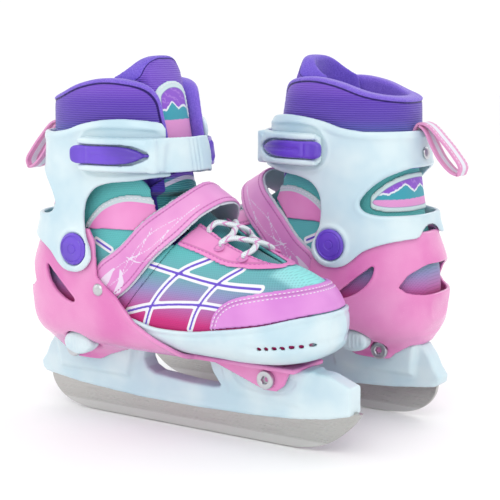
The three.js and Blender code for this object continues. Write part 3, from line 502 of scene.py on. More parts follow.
def legRings():
    angle = np.arange(ringSides) * math.tau / ringSides
    c, s = superellipse(angle, boot["legRound"], boot["legRound"])
    return [
        np.stack([(front + rear) / 2 + (front - rear) / 2 * c, w * s, np.full_like(c, z)], 1)
        for z, rear, front, w in curveThrough(boot["leg"], 14)]


def loftField(rings, reach=30.0):  # the distance field of a closed loft
    rings = np.array(rings)
    count, around = rings.shape[:2]
    index = np.arange(count * around).reshape(count, around)
    lower, upper = index[:-1], index[1:]
    quads = np.stack([lower, np.roll(lower, -1, 1), np.roll(upper, -1, 1), upper], -1).reshape(-1, 4)
    points = np.vstack([rings.reshape(-1, 3), rings[[0, -1]].mean(1)])
    fans = [np.stack([ring, np.roll(ring, -1), np.full(around, middle)], 1)
            for ring, middle in ((index[0], len(points) - 2), (index[-1], len(points) - 1))]
    made = vdb.FloatGrid.createLevelSetFromPolygons(
        points.astype(np.float32), triangles=np.vstack(fans).astype(np.uint32),
        quads=quads.astype(np.uint32), transform=vdb.createLinearTransform(voxelSize=step),
        halfWidth=reach / step)
    out = np.zeros(grid["count"], np.float32)
    made.copyToArray(out, ijk=grid["low"])
    return out


def either(soft, *fields):  # joined, with a fillet
    out = fields[0]
    for other in fields[1:]:
        meet = np.maximum(soft - np.abs(out - other), 0) / max(soft, 1e-6)
        out = np.minimum(out, other) - meet * meet * soft / 4
    return out


def both(soft, *fields):  # only where all of them are, with rounded edges
    return -either(soft, *(-f for f in fields))


def band(field, inner, outer):
    return np.maximum(field - outer, inner - field)


def near(value, width):  # 1 at zero, falling off softly
    return np.exp(-(value / width) ** 2)


def rise(value, start, end):
    t = np.clip((value - start) / (end - start), 0, 1)
    return t * t * (3 - 2 * t)


legField = loftField(legRings())
bootField = either(boot["ankleFillet"], loftField(footRings(0)), legField)
crownField = either(boot["ankleFillet"], loftField(footRings(boot["crown"])), legField)
print("boot fields made", bootField.shape)


def outline(points, u, v):  # signed distance to a closed flat outline, negative inside
    points = np.array(points, float)
    u, v = np.broadcast_arrays(np.asarray(u, float), np.asarray(v, float))
    best, odd = np.full(u.shape, 1e9), np.zeros(u.shape, bool)
    for (ax, az), (bx, bz) in zip(points, np.roll(points, -1, 0)):
        ex, ez = bx - ax, bz - az
        t = np.clip(((u - ax) * ex + (v - az) * ez) / max(ex * ex + ez * ez, 1e-9), 0, 1)
        best = np.minimum(best, (u - ax - ex * t) ** 2 + (v - az - ez * t) ** 2)
        odd ^= ((az <= v) != (bz <= v)) & (u < ax + (v - az) * ex / (ez or 1))
    return np.where(odd, -1, 1) * np.sqrt(best)


def lineDistance(points, u, v):  # distance to an open line
    best = np.full(np.broadcast(u, v).shape, 1e9)
    for (ax, az), (bx, bz) in zip(points, points[1:]):
        ex, ez = bx - ax, bz - az
        t = np.clip(((u - ax) * ex + (v - az) * ez) / (ex * ex + ez * ez), 0, 1)
        best = np.minimum(best, (u - ax - ex * t) ** 2 + (v - az - ez * t) ** 2)
    return np.sqrt(best)


def sample(field, points):  # a grid field's value at points
    f = np.clip((points - gridLow) / step, 0, np.array(field.shape) - 1.001)
    i = f.astype(int)
    t = f - i
    out = 0
    for corner in range(8):
        d = np.array([corner & 1, corner >> 1 & 1, corner >> 2])
        weight = np.prod(np.where(d, t, 1 - t), 1)
        out = out + weight * field[tuple((i + d).T)]
    return out


def slope(field, points):  # the outward direction of a field at points
    d = np.stack([sample(field, points + e) - sample(field, points - e) for e in np.eye(3) * step], 1)
    return d / np.maximum(np.linalg.norm(d, axis=1), 1e-6)[:, None]


class Room:  # the part of the grid that one piece lies in
    def __init__(self, low, high):
        cut = tuple(slice(max(0, int((a - o) / step)), min(n, int((b - o) / step) + 2))
                    for a, b, o, n in zip(low, high, gridLow, grid["count"]))
        x, y, z = (axis[c] for axis, c in zip(axes, cut))
        self.x, self.y, self.z = x[:, None, None], y[None, :, None], z[None, None, :]
        self.boot, self.crowned = bootField[cut], crownField[cut]
        self.corner = np.array((x[0], y[0], z[0]))

    def side(self, points):  # outline in x and z
        return outline(points, self.x[:, :, 0], self.z[0])[:, None, :]

    def sideLine(self, points):  # distance to an open line in x and z
        return lineDistance(points, self.x[:, :, 0], self.z[0])[:, None, :]

    def front(self, points):  # outline in y and z
        return outline(points, self.y[0], self.z[0])[None, :, :]

    def plan(self, points):  # outline in x and y
        return outline(points, self.x[:, :, 0], self.y[0].T)[:, :, None]

    def surface(self, field, each=1):  # the closed surface where field is 0, without specks
        shape = np.broadcast(self.x, self.y, self.z).shape
        field = np.clip(np.broadcast_to(field, shape), -3, 3)[::each, ::each, ::each].astype(np.float32)
        for axis in range(3):
            ends = np.moveaxis(field, axis, 0)
            ends[0] = np.maximum(ends[0], 0.5)
            ends[-1] = np.maximum(ends[-1], 0.5)
        made = vdb.FloatGrid(3.0)
        made.copyFromArray(field, tolerance=0.0)
        points, _, quads = made.convertToPolygons(0.0, 0.0)
        points, quads = points * step * each + self.corner, quads.astype(int)
        label = np.arange(len(points))
        pairs = np.vstack([quads[:, [0, 1]], quads[:, [1, 2]], quads[:, [2, 3]]])
        while True:
            least = np.minimum(label[pairs[:, 0]], label[pairs[:, 1]])
            after = label.copy()
            np.minimum.at(after, pairs[:, 0], least)
            np.minimum.at(after, pairs[:, 1], least)
            after = after[after]
            if (after == label).all():
                break
            label = after
        big = np.bincount(label, minlength=len(points))[label] > max(60, len(points) // 60)
        quads = quads[big[quads[:, 0]]]
        used, quads = np.unique(quads, return_inverse=True)
        points, quads = points[used], quads.reshape(-1, 4)
        a, b, c = (points[quads[:, i]] for i in range(3))
        if np.einsum("ij,ij->i", a, np.cross(b, c)).sum() < 0:
            quads = quads[:, ::-1]
        return points, quads


# Making meshes, and setting them in place for both skates.

def meshOf(name, points, faces, facts=None):
    mesh = bpy.data.meshes.new(name)
    mesh.from_pydata(np.asarray(points).tolist(), [], [list(map(int, f)) for f in faces])
    mesh.polygons.foreach_set("use_smooth", [True] * len(mesh.polygons))
    for key, value in (facts or {}).items():
        held = mesh.attributes.new(key, "FLOAT", "POINT")
        held.data.foreach_set("value", np.broadcast_to(value, len(points)).astype(np.float32))
    return mesh


def settle(name, base, paint, body, finish, stands=(), sharp=None, bend=None):
    if sharp:
        base.set_sharp_from_angle(angle=math.radians(sharp))
    count = len(base.vertices)
    where = np.zeros(count * 3, np.float32)
    base.vertices.foreach_get("co", where)
    held = base.attributes.new("place", "FLOAT_VECTOR", "POINT")
    held.data.foreach_set("vector", where)
    base.materials.clear()
    base.materials.append(paints[paint].material)
    for side, turn in pair["turn"].items():
        mesh = base.copy()
        move = Matrix.Translation((-turn * pair["middle"] / 1000, pair["centre"][side] / 1000, 0))
        mesh.transform(move @ Matrix.Diagonal((turn / 1000, 0.001, 0.001, 1)))
        if turn < 0:
            mesh.flip_normals()
        made = bpy.data.objects.new(f"{side}_{name}", mesh)
        bpy.context.collection.objects.link(made)
        if bend:
            start, end = ((turn * (x - pair["middle"]) / 1000, (y + pair["centre"][side]) / 1000, z / 1000)
                          for x, y, z in bend)
            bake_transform(made)
            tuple(start)
            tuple(end)
        else:
            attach(made, body if body == "chassis" else f"{side}_{body}")
        if stands:
            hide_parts(*(f"{side}_{node}" for node in stands))
    print("made", name, count)


def fromField(name, room, field, paint, body, finish, stands=(), facts=None, bend=None,
              each=1):
    points, faces = room.surface(field, each)
    values = {key: fact(points) for key, fact in (facts or {}).items()}
    settle(name, meshOf(name, points, faces, values), paint, body, finish, stands, bend=bend)
    return points, faces, values


def depthFact(points):
    return sample(bootField, points)


def noRim(points):
    return np.full(len(points), 30.0)


def wrapped(index):  # the faces between rings of points that close on themselves
    return [face for low, high in zip(index, index[1:])
            for face in np.stack([low, np.roll(low, -1), np.roll(high, -1), high], 1)]


# Repeated parts: stitches, teeth and eyelets set along a line.

def lineAlong(points, faces, fact, level, keep):  # the line on a surface where fact equals level
    ring = np.hstack([faces[:, [0, 1, 2]], faces[:, [0, 2, 3]]]).reshape(-1, 3)
    ends = np.stack([ring, np.roll(ring, -1, 1)], 2).reshape(-1, 2)
    ends.sort(axis=1)
    a, b = fact[ends[:, 0]] - level, fact[ends[:, 1]] - level
    crossed = (a < 0) != (b < 0)
    t = np.where(crossed, a / np.where(crossed, a - b, 1), 0)[:, None]
    at = points[ends[:, 0]] * (1 - t) + points[ends[:, 1]] * t
    crossed &= keep(at)
    crossed = crossed.reshape(-1, 3)
    crossed &= (crossed.sum(1) == 2)[:, None]
    crossed = crossed.reshape(-1)
    key, first, index = np.unique(ends[crossed], axis=0, return_index=True, return_inverse=True)
    return at[crossed][first], index.reshape(-1, 2)


def repeatTree(shape):  # instances of one shape along the lines of a mesh
    tree = bpy.data.node_groups.new(shape + "Row", "GeometryNodeTree")
    face = tree.interface
    face.new_socket("Geometry", in_out="INPUT", socket_type="NodeSocketGeometry")
    for label in ("Spacing", "Length", "Width", "Height"):
        face.new_socket(label, in_out="INPUT", socket_type="NodeSocketFloat")
    face.new_socket("Finish", in_out="INPUT", socket_type="NodeSocketMaterial")
    face.new_socket("Geometry", in_out="OUTPUT", socket_type="NodeSocketGeometry")

    def add(kind, **settings):
        made = tree.nodes.new(kind)
        for key, value in settings.items():
            setattr(made, key, value)
        return made

    def wire(source, target):
        tree.links.new(source, target)
    start, end = add("NodeGroupInput"), add("NodeGroupOutput")
    curve, rows = add("GeometryNodeMeshToCurve"), add("GeometryNodeResampleCurve", mode="LENGTH")
    facing = add("GeometryNodeInputNamedAttribute", data_type="FLOAT_VECTOR")
    facing.inputs["Name"].default_value = "facing"
    tangent = add("GeometryNodeInputTangent")
    along = add("FunctionNodeAlignRotationToVector", axis="X")
    turned = add("FunctionNodeAlignRotationToVector", axis="Z", pivot_axis="X")
    put, real = add("GeometryNodeInstanceOnPoints"), add("GeometryNodeRealizeInstances")
    finish = add("GeometryNodeSetMaterial")
    size = add("ShaderNodeCombineXYZ")
    if shape == "stitch":
        unit = add("GeometryNodeMeshUVSphere")
        unit.inputs["Segments"].default_value, unit.inputs["Rings"].default_value = 8, 5
        unit.inputs["Radius"].default_value = 0.5
    elif shape == "ring":  # a flat ring, turned from a circle
        circle, small = add("GeometryNodeCurvePrimitiveCircle"), add("GeometryNodeCurvePrimitiveCircle")
        circle.inputs["Resolution"].default_value, circle.inputs["Radius"].default_value = 28, 0.4
        small.inputs["Resolution"].default_value, small.inputs["Radius"].default_value = 8, 0.1
        unit = add("GeometryNodeCurveToMesh")
        wire(circle.outputs["Curve"], unit.inputs["Curve"])
        wire(small.outputs["Curve"], unit.inputs["Profile Curve"])
    else:
        unit = add("GeometryNodeMeshCone")
        unit.inputs["Vertices"].default_value = 4
        unit.inputs["Radius Top"].default_value, unit.inputs["Radius Bottom"].default_value = 0.42, 0.7071
        unit.inputs["Depth"].default_value = 1.0
    wire(start.outputs["Geometry"], curve.inputs[0])
    wire(curve.outputs[0], rows.inputs["Curve"])
    wire(start.outputs["Spacing"], rows.inputs["Length"])
    wire(rows.outputs[0], put.inputs["Points"])
    wire(unit.outputs[0], put.inputs["Instance"])
    wire(tangent.outputs[0], along.inputs["Vector"])
    wire(along.outputs[0], turned.inputs["Rotation"])
    wire(facing.outputs[0], turned.inputs["Vector"])
    wire(turned.outputs[0], put.inputs["Rotation"])
    for i, label in enumerate(("Length", "Width", "Height")):
        wire(start.outputs[label], size.inputs[i])
    wire(size.outputs[0], put.inputs["Scale"])
    wire(put.outputs[0], real.inputs[0])
    wire(real.outputs[0], finish.inputs["Geometry"])
    wire(start.outputs["Finish"], finish.inputs["Material"])
    wire(finish.outputs[0], end.inputs[0])
    return tree


rowTrees = {shape: repeatTree(shape) for shape in ("stitch", "ring", "tooth")}


def row(name, shape, lines, sizes, paint, body, finish, field=None, facing=None):
    points = np.vstack([p for p, _ in lines])
    shift = np.cumsum([0] + [len(p) for p, _ in lines])
    edges = np.vstack([e + s for (_, e), s in zip(lines, shift)])
    if facing is None:
        facing = slope(bootField if field is None else field, points)
    mesh = bpy.data.meshes.new(name)
    mesh.from_pydata(points.tolist(), edges.tolist(), [])
    held = mesh.attributes.new("facing", "FLOAT_VECTOR", "POINT")
    held.data.foreach_set("vector", facing.astype(np.float32).ravel())
    guide = bpy.data.objects.new(name + "Guide", mesh)
    bpy.context.collection.objects.link(guide)
    modifier = guide.modifiers.new("row", "NODES")
    modifier.node_group = rowTrees[shape]
    items = rowTrees[shape].interface.items_tree
    sockets = {item.name: item.identifier for item in items if item.in_out == "INPUT"}
    for key, value in sizes.items():
        modifier[sockets[key]] = float(value)
    modifier[sockets["Finish"]] = paints[paint].material
    evaluated = guide.evaluated_get(bpy.context.evaluated_depsgraph_get())
    base = bpy.data.meshes.new_from_object(evaluated)
    guide.modifiers.remove(modifier)
    bpy.data.objects.remove(guide)
    base.polygons.foreach_set("use_smooth", [shape != "tooth"] * len(base.polygons))
    settle(name, base, paint, body, finish)


def polyline(points):
    return np.array(points, float), np.stack([np.arange(len(points) - 1), np.arange(1, len(points))], 1)


seamSizes = {"Spacing": 3.0, "Length": 2.1, "Width": 0.75, "Height": 0.6}  # mm


# Turned pieces: a profile spun about an axis, with a hex socket where asked.

def spun(name, profile, at, axis, paint, body, finish, stands=(), sides=48, hexFrom=None):
    axis = np.array(axis, float) / np.linalg.norm(axis)
    across = np.cross(axis, (0, 0, 1.0) if abs(axis[2]) < 0.9 else (1.0, 0, 0))
    across /= np.linalg.norm(across)
    other = np.cross(axis, across)
    angle = np.arange(sides) * math.tau / sides
    rings = []
    for i, (radius, height) in enumerate(profile):
        r = np.full(sides, radius, float)
        if hexFrom is not None and i >= hexFrom:
            r = radius / np.cos((angle % (math.pi / 3)) - math.pi / 6)
        rings.append(at + np.outer(r * np.cos(angle), across) + np.outer(r * np.sin(angle), other)
                     + axis * height)
    index = np.arange(len(rings) * sides).reshape(-1, sides)
    base = meshOf(name, np.vstack(rings), wrapped(index) + [index[0][::-1], index[-1]])
    settle(name, base, paint, body, finish, stands, sharp=38)


# Runner and holder.

steel = {"half": 1.8, "bevel": 0.45, "tang": 9.0}
steelTop = [(-8, 25.5), (28, 21), (84, 18), (136, 18), (187, 19.5), (221, 22), (245, 25.5), (268, 31.5)]
steelEdge = [(-8, 25.5), (-6.5, 19), (-2, 12), (5, 6.5), (15, 2.5), (30, 0.4), (40, 0), (205, 0),
             (218, 0.6), (232, 3), (245, 8.5), (256, 17), (264, 25), (268, 31.5)]


def plate(points, half, bevel):  # a flat bar with chamfered edges, across y
    points = np.array(points)
    ahead, behind = np.roll(points, -1, 0) - points, points - np.roll(points, 1, 0)
    normals = []
    for a, b in zip(ahead, behind):
        n = np.array((a[1], -a[0])) / np.linalg.norm(a) + np.array((b[1], -b[0])) / np.linalg.norm(b)
        normals.append(n / max(np.linalg.norm(n), 1e-6))
    inner = points - np.array(normals) * bevel
    rings = []
    for flat, y in ((inner, half), (points, half - bevel), (points, bevel - half), (inner, -half)):
        rings.append(np.stack([flat[:, 0], np.full(len(flat), y), flat[:, 1]], 1))
    count = len(points)
    index = np.arange(4 * count).reshape(4, count)
    faces = [f for low, high in zip(index, index[1:])
             for f in np.stack([low, high, np.roll(high, -1), np.roll(low, -1)], 1)]
    return np.vstack(rings), faces + [index[0], index[-1][::-1]]


def outward(mesh):  # faces turned to point out
    points = np.zeros(len(mesh.vertices) * 3)
    mesh.vertices.foreach_get("co", points)
    points = points.reshape(-1, 3)
    mesh.calc_loop_triangles()
    corners = np.zeros(len(mesh.loop_triangles) * 3, int)
    mesh.loop_triangles.foreach_get("vertices", corners)
    a, b, c = (points[corners.reshape(-1, 3)[:, i]] for i in range(3))
    if np.einsum("ij,ij->i", a, np.cross(b, c)).sum() < 0:
        mesh.flip_normals()


tang = [(x, z + steel["tang"]) for x, z in steelTop[-2:0:-1]]
runner = np.vstack([curveThrough(steelEdge, 6), tang])
runner[:, 1] = runner[:, 1].clip(0)
base = meshOf("runner", *plate(runner, steel["half"], steel["bevel"]))
outward(base)
settle("runner", base, "steel", "chassis", "steel", ["blade"], sharp=20)

holder = {"half": 8.0, "rearPost": 14.0, "frontPost": 11.0, "top": 56.7, "relief": 0.9, "play": 0.3,
          "taper": 0.13, "taperTall": 22, "lip": 0.5, "lipTall": 4.0}
top = holder["top"]
holderUpper = [(274, 42), (262, 49.5), (245, 56), (236, top), (146, top), (150, 46), (157, 37), (152, 35.6),
               (128, 36), (98, 38.5), (91, 42), (88, 48), (90, top), (2, top), (-4, 49), (-8.5, 39.5),
               (-13, 33.5), (-12, 28)]
room = Room((-18, -17, 15), (280, 17, 62))
groove = [(x, z + holder["play"]) for x, z in steelTop]
rail = both(2.4, room.side(groove + holderUpper), abs(room.y) - holder["half"])
posts = []
for points, half in (([(10, 34), (74, 34), (82, top), (6, top)], holder["rearPost"]),
                     ([(166, 36), (222, 34), (232, top), (158, top)], holder["frontPost"])):
    taper = (top - room.z).clip(0, holder["taperTall"]) * holder["taper"]  # drawn in below the sole
    posts.append(both(3.0, room.side(points), abs(room.y) - (half - taper)))
shape = either(5.0, rail, *posts)
relief = room.side(curveThrough([(176, 40), (214, 39), (222, 50), (168, 51)], 6, True))
shape = shape + holder["relief"] * rise(-relief, 0.0, 1.2) * (abs(room.y) > 4)
lowLip = room.side(groove + [(x, z + holder["lipTall"]) for x, z in groove[::-1]])
shape = shape - holder["lip"] * rise(-lowLip, -0.6, 0.6) * (abs(room.y) > 4)
boltPlaces = {"rear": (31.5, 51.5, 18.3), "front": (201.0, 49.5, 15.3)}  # x, z and the cheek's half width

fromField("runnerHolder", room, shape, "white", "chassis", "white_plastic", ["blade_holder"])


# Heel shell, with the base and the cheeks for the bolts.

heel = {"inner": 3.8, "outer": 7.0, "lip": 0.8, "round": 1.3, "leafLip": 0.5, "sole": 57, "soleTop": 60.2,
        "soleHalf": 20, "boltRecess": 7.4}
heelSide = [(-30, 30), (-30, 142), (20, 142), (42, 148), (68, 148), (73.5, 139), (76.5, 114), (84, 108),
            (95, 101), (110, 85), (125, 75.5), (137, 69), (144, 62), (144, 30)]
heelTail = np.array([(44.5, 17, 62, 18.3), (49, 11, 72, 18.6), (54, 5, 84, 21.8), (59, 0, 96, 27.3),
                     (66, -4, 106, 35.3)])  # z, rearmost and foremost point, half width
heelLeaf = [(26, 118.5), (28, 109), (38, 98.5), (52, 93), (55.5, 94.5), (46.5, 103), (35, 112.5)]
heelRearWindow = [(-40, 98), (-5, 97.5), (4, 99.5), (9, 103.5), (4, 112), (-5, 119.5), (-40, 121)]
button = {"x": 48.0, "z": 60.0, "hole": (14.5, 9.3), "inner": 25.0, "outer": 36.0, "rib": 0.55,
          "ribPitch": 3.2}
cheekSide = [(152, 57), (198, 41.5), (208, 41.5), (214, 46), (220, 59.2), (152, 59.2)]

room = Room((-16, -56, 38), (232, 56, 152))
edge = room.side(heelSide)
lip = heel["lip"] * near(-edge - 2.0, 1.5) * rise(-room.z, -112, -104)
leaf = room.side(curveThrough(heelLeaf, 6, True))
lip = lip + heel["leafLip"] * near(leaf - 1.6, 1.3)
shell = both(heel["round"], band(room.boot, heel["inner"], heel["outer"] + lip), edge)
rear, front, half = (np.interp(room.z, heelTail[:, 0], heelTail[:, i]) for i in (1, 2, 3))
reach = abs(room.x - (rear + front) / 2) / ((front - rear) / 2)
tail = ((reach ** 2.5 + (abs(room.y) / half) ** 2.5) ** 0.4 - 1) * half
tail = both(2.0, tail, 44.5 - room.z, room.z - 67)
base = both(0.8, 100 - room.x, room.x - 226, abs(room.y) - heel["soleHalf"], heel["sole"] - room.z,
            room.z - heel["soleTop"])
cheeks = both(2.0, room.side(cheekSide), abs(room.y) - boltPlaces["front"][2])
inward = heel["inner"] - room.boot
shape = either(1.5, shell, both(0.6, tail, inward), both(0.4, base, inward), both(0.6, cheeks, inward))
long, tall = button["hole"]
oval = room.side([(button["x"] + long * math.cos(a), button["z"] + tall * math.sin(a))
                  for a in np.arange(36) * math.tau / 36])
cuts = [
    both(0, room.x - 90, abs(room.y) - holder["rearPost"] - holder["play"], room.z - heel["sole"]),
    both(0, 140 - room.x, abs(room.y) - holder["frontPost"] - holder["play"], room.z - heel["sole"]),
    both(0.5, oval, room.y + 21.5),
    leaf,
    room.side(curveThrough(heelRearWindow, 1, True)),
]
for x, z, face in boltPlaces.values():
    around = np.hypot(room.x - x, room.z - z)
    cuts.append(both(0.3, around - heel["boltRecess"], face - abs(room.y)))
shape = both(0.9, shape, *(-cut for cut in cuts))
fromField("heelShell", room, shape, "pink", "chassis", "pink_plastic", ["heel_shell"])

room = Room((30, -42, 46), (66, -18, 74))  # the size button, an oval with a pointed front
point = curveThrough([(34.5, 60), (37, 54.5), (44, 51.6), (52, 52), (58.5, 55.5), (61.7, 60), (58.5, 64.5),
                      (52, 68), (44, 68.4), (37, 65.5)], 5, True)
edge = room.side(point)
shape = both(3.2, edge, -button["outer"] - room.y, room.y + button["inner"])
ribs = rise(np.cos((room.x - button["x"]) * math.tau / button["ribPitch"]), 0.2, 0.8)
shape = shape - button["rib"] * ribs * rise(-edge, 2.4, 3.4) * (room.y < -30)
fromField("sizeButton", room, shape, "white", "button", "white_plastic", ["size_button"])


# Toe shell, vamp, toe cap and eyestay, which slide forward together.

toe = {"inner": 0.4, "outer": 3.4, "groove": 0.6, "grooveDrop": 4.2, "rim": 0.5, "crease": 1.0,
       "vents": 7, "ventPitch": 5, "ventR": 1.25}
toeShellSide = [(80, 50), (80, 88), (104, 87), (124, 82.5), (156, 83), (174, 86), (214, 93.5),
                (238, 99.5), (270, 102), (270, 50)]
toeEdge = curveThrough(toeShellSide[1:9], 5)
room = Room((76, -52, 56), (254, 52, 108))
edge = room.side([toeShellSide[0], *toeEdge, toeShellSide[-1]])
groove = toe["groove"] * near(room.sideLine(toeEdge - (0, toe["grooveDrop"])), 0.9)
rim = toe["rim"] * near(room.sideLine(toeEdge - (0, 1.4)), 1.3)
vents = [(212 + toe["ventPitch"] * i, 77.5 + 0.5 * i) for i in range(toe["vents"])]
crease = toe["crease"] * near(room.sideLine([(206, 76.9), (247, 81)]), 2.8)
shape = both(1.1, band(room.boot, toe["inner"], toe["outer"] - groove + rim - crease), edge)
for x, z in vents:
    hole = np.hypot((room.x - x) / 1.25, room.z - z) - toe["ventR"]
    shape = both(0.6, shape, -both(0, hole, room.y))
fromField("toeShell", room, shape, "white", "toe_unit", "white_plastic", ["toe_shell"])

vampRear = [(92, 50), (92, 84), (104, 100), (124, 124), (144, 152), (150, 175)]
throat = [(204, 0), (201, 6), (192, 10), (175, 12.5), (150, 14), (120, 16)]
throatRing = [*curveThrough(throat, 5), *[(x, -y) for x, y in curveThrough(throat, 5)[:0:-1]]]
stripes = [
    [(116, 126), (142.5, 121.5), (175, 117), (207, 116)],
    [(101, 91), (122, 97), (163, 102), (183, 102)],
    [(164.5, 132.6), (144, 122), (123, 99), (115.5, 81)],
    [(188, 127), (175, 116.5), (161, 98), (155, 84)],
    [(70.5, 139), (84, 133)],
]


def stripeFact(points):
    return np.minimum.reduce([lineDistance(curveThrough(stripe, 6), points[:, 0], points[:, 2])
                              for stripe in stripes])


def toeTopFact(points):
    return np.minimum(points[:, 0] - 205, 24 - abs(points[:, 1])) / 6


upper = {"cloth": 2.4, "lining": (-6.2, -2.7), "toeLow": 74, "heelLow": 78, "seamR": 69.5, "overlap": 0.15}
upperFacts = {"stripe": stripeFact, "toeTop": toeTopFact}
room = Room((88, -48, 60), (250, 48, 176))
front = room.side([*vampRear, (300, 175), (300, 50)])
opened = np.where(room.z > 100, room.plan(throatRing), 30)
shape = both(0.3, band(room.boot, -upper["cloth"], 0.0), front, -opened, upper["toeLow"] - room.z)
fromField("vamp", room, shape, "upper", "toe_unit", "upper_fabric", ["vamp"], facts=upperFacts)

quarterRear = [(x - upper["overlap"], z) for x, z in vampRear]
room = Room((-4, -48, 58), (146, 48, 206))
behind = room.side([*quarterRear, (149.6, 260), (-60, 260), (-60, 50)])
turn = np.hypot(room.x - ankle[0], room.z - ankle[1])
seam = np.minimum(turn - upper["seamR"], room.z - 140)
gap = np.maximum(np.minimum(np.minimum(room.x - 100, 19 - abs(room.y)), room.z - 118),
                 np.minimum(np.minimum(room.x - 100, 27 - abs(room.y)), room.z - 150))
slant = room.side([(-60, 40), (-60, 240), (135, 240), (300, 145), (300, 40)])
shape = both(0.3, band(room.boot, -upper["cloth"], 0.0), behind, seam, gap, slant, upper["heelLow"] - room.z)
fromField("quarter", room, shape, "upper", "chassis", "upper_fabric", ["bootie"], facts=upperFacts)
liningSide = [(-60, 50), (-60, 260), (160, 260), (150, 112), (138, 96), (138, 50)]
shape = both(1.2, band(room.boot, *upper["lining"]), room.side(liningSide), seam, gap, slant)
fromField("bootLining", room, shape, "collar", "chassis", "lining",
          facts={"rim": noRim, "depth": depthFact}, each=2)
room = Room((-4, -46, 70), (232, 46, 81))
shape = both(1.6, room.boot + 6.6, abs(room.z - 75.4) - 2.0, room.x - 226)
fromField("footbed", room, shape, "foam", "chassis", "insole", ["footbed"], each=2)

capEdge = [(173, 87), (177, 98), (188, 108), (208, 114), (232, 118), (252, 121)]
room = Room((168, -50, 84), (252, 50, 124))
side = [*curveThrough(capEdge, 5), (290, 121), *[(x, z + 0.5) for x, z in toeShellSide[8:4:-1]]]
capLine = curveThrough(capEdge, 5)
edge = room.side(side)
shape = both(0.8, band(room.boot, 0.3, 1.9 + 0.25 * near(-edge - 1.2, 1.2)), edge)
capFacts = {"rim": lambda p: lineDistance(capLine, p[:, 0], p[:, 2])}
capSkin = fromField("toeCap", room, shape, "capVinyl", "toe_unit", "pink_vinyl", ["toe_cap"], facts=capFacts)

stayLow = [(128, 141), (135, 140.6), (157, 135), (175, 129), (193, 127.5), (207, 127.5), (218, 128)]
room = Room((118, -46, 118), (222, 46, 174))
over = room.side([*curveThrough(stayLow, 5), (218, 190), (100, 190), (100, 141)])
wide = room.plan([*[(x + 1.6, y + 1.6) for x, y in curveThrough(throat, 5)][1:],
                  *[(x + 1.6, -y - 1.6) for x, y in curveThrough(throat, 5)[:0:-1]]])
ahead = room.side([(x + 1.5, z) for x, z in vampRear] + [(300, 175), (300, 50)])
noseX = room.x - 213 + abs(room.y) * 0.12
edge = both(0, over, -wide, noseX)
shape = both(0.8, band(room.boot, 0.05, 1.6), edge, ahead)


def stayFact(p):
    low = lineDistance(curveThrough(stayLow, 5), p[:, 0], p[:, 2])
    inner = abs(outline(throatRing, p[:, 0], p[:, 1])) - 1.6
    return np.minimum(np.minimum(low, inner), 213 - abs(p[:, 1]) * 0.12 - p[:, 0])


staySkin = fromField("eyestay", room, shape, "stayVinyl", "toe_unit", "pink_vinyl", facts={"rim": stayFact})

room = Room((116, -22, 108), (212, 22, 172))  # the tongue's foot, under the laces
puff = 2.8 * (1 - (room.y / 17) ** 2).clip(0, 1)
shape = both(1.5, band(room.boot, -9.0, puff - 4.4), 118 - room.x, room.x - 207, abs(room.y) - 17.5,
             110 - room.z)
fromField("tongueFoot", room, shape, "knit", "toe_unit", "fleece", each=2)
print("toe pieces made")


# Ankle panel, instep strap and the patch seen through the cuff's rear window.

strap = {"low": 1.5, "high": 3.2, "backing": 1.3, "seamIn": 3.2}
strapSide = [(68, 104), (75, 97), (86, 97), (104, 109.5), (123, 131), (142, 148.5), (152, 161), (160, 171),
             (166, 200), (142, 200), (139, 180), (130, 170), (111, 154.5), (92, 135), (74, 121)]
strapLines = [  # thin drawn lines on the strap, in x and z
    [(84, 106), (100, 119), (111, 133), (120, 152)], [(79, 110), (97, 125), (121, 138), (149, 168)],
    [(93, 108), (101, 125), (118, 146), (140, 160)], [(99, 130), (112, 127), (124, 134), (133, 151)]]
strapLines = [curveThrough(line, 5) for line in strapLines]
strapLeaves = [[(74.5, 108), (80, 104.5), (85.5, 111), (90, 121), (82, 115)],
               [(90, 102.5), (96, 104.5), (99, 112), (95.5, 121), (95, 112)]]
strapEdge = curveThrough(strapSide, 5, True)
panelArch = curveThrough([(60, 149), (66, 157), (75, 165), (86, 170.5), (97, 173), (108, 172.5),
                          (118, 170.5), (130, 166)], 4)
panelSide = [*panelArch, (130, 146), (100, 148), (78, 147.5), (64, 147)]

room = Room((58, -50, 142), (130, 50, 178))
edge = np.maximum(room.side(panelSide), 1.0 - room.side(strapEdge))
around = np.hypot(room.x - ankle[0], room.z - ankle[1])
shape = both(0.5, band(room.boot, 0.05, 1.5), edge, 27.5 - abs(room.y), around - 68.6)


def panelFact(p):
    return lineDistance(panelArch, p[:, 0], p[:, 2])


panelSkin = fromField("anklePanel", room, shape, "panelVinyl", "chassis", "pink_vinyl",
                      facts={"rim": panelFact})


def strapFact(p):
    return -outline(strapEdge, p[:, 0], p[:, 2])


def strapLineFact(p):
    leaves = [outline(leaf, p[:, 0], p[:, 2]) for leaf in strapLeaves]
    return np.minimum.reduce([lineDistance(line, p[:, 0], p[:, 2]) for line in strapLines] + leaves)


room = Room((64, -52, 94), (172, 52, 196))
edge = room.side(strapEdge)
shape = both(0.8, band(room.crowned, strap["low"], strap["high"]), edge)
strapSkin = fromField("instepStrap", room, shape, "strapVinyl", "chassis", "pink_vinyl", ["instep_strap"],
                      facts={"rim": strapFact, "line": strapLineFact})
shape = both(0.5, band(room.crowned, 0.2, strap["low"] - 0.05), edge - strap["backing"])
fromField("strapBacking", room, shape, "backing", "chassis", "lining")

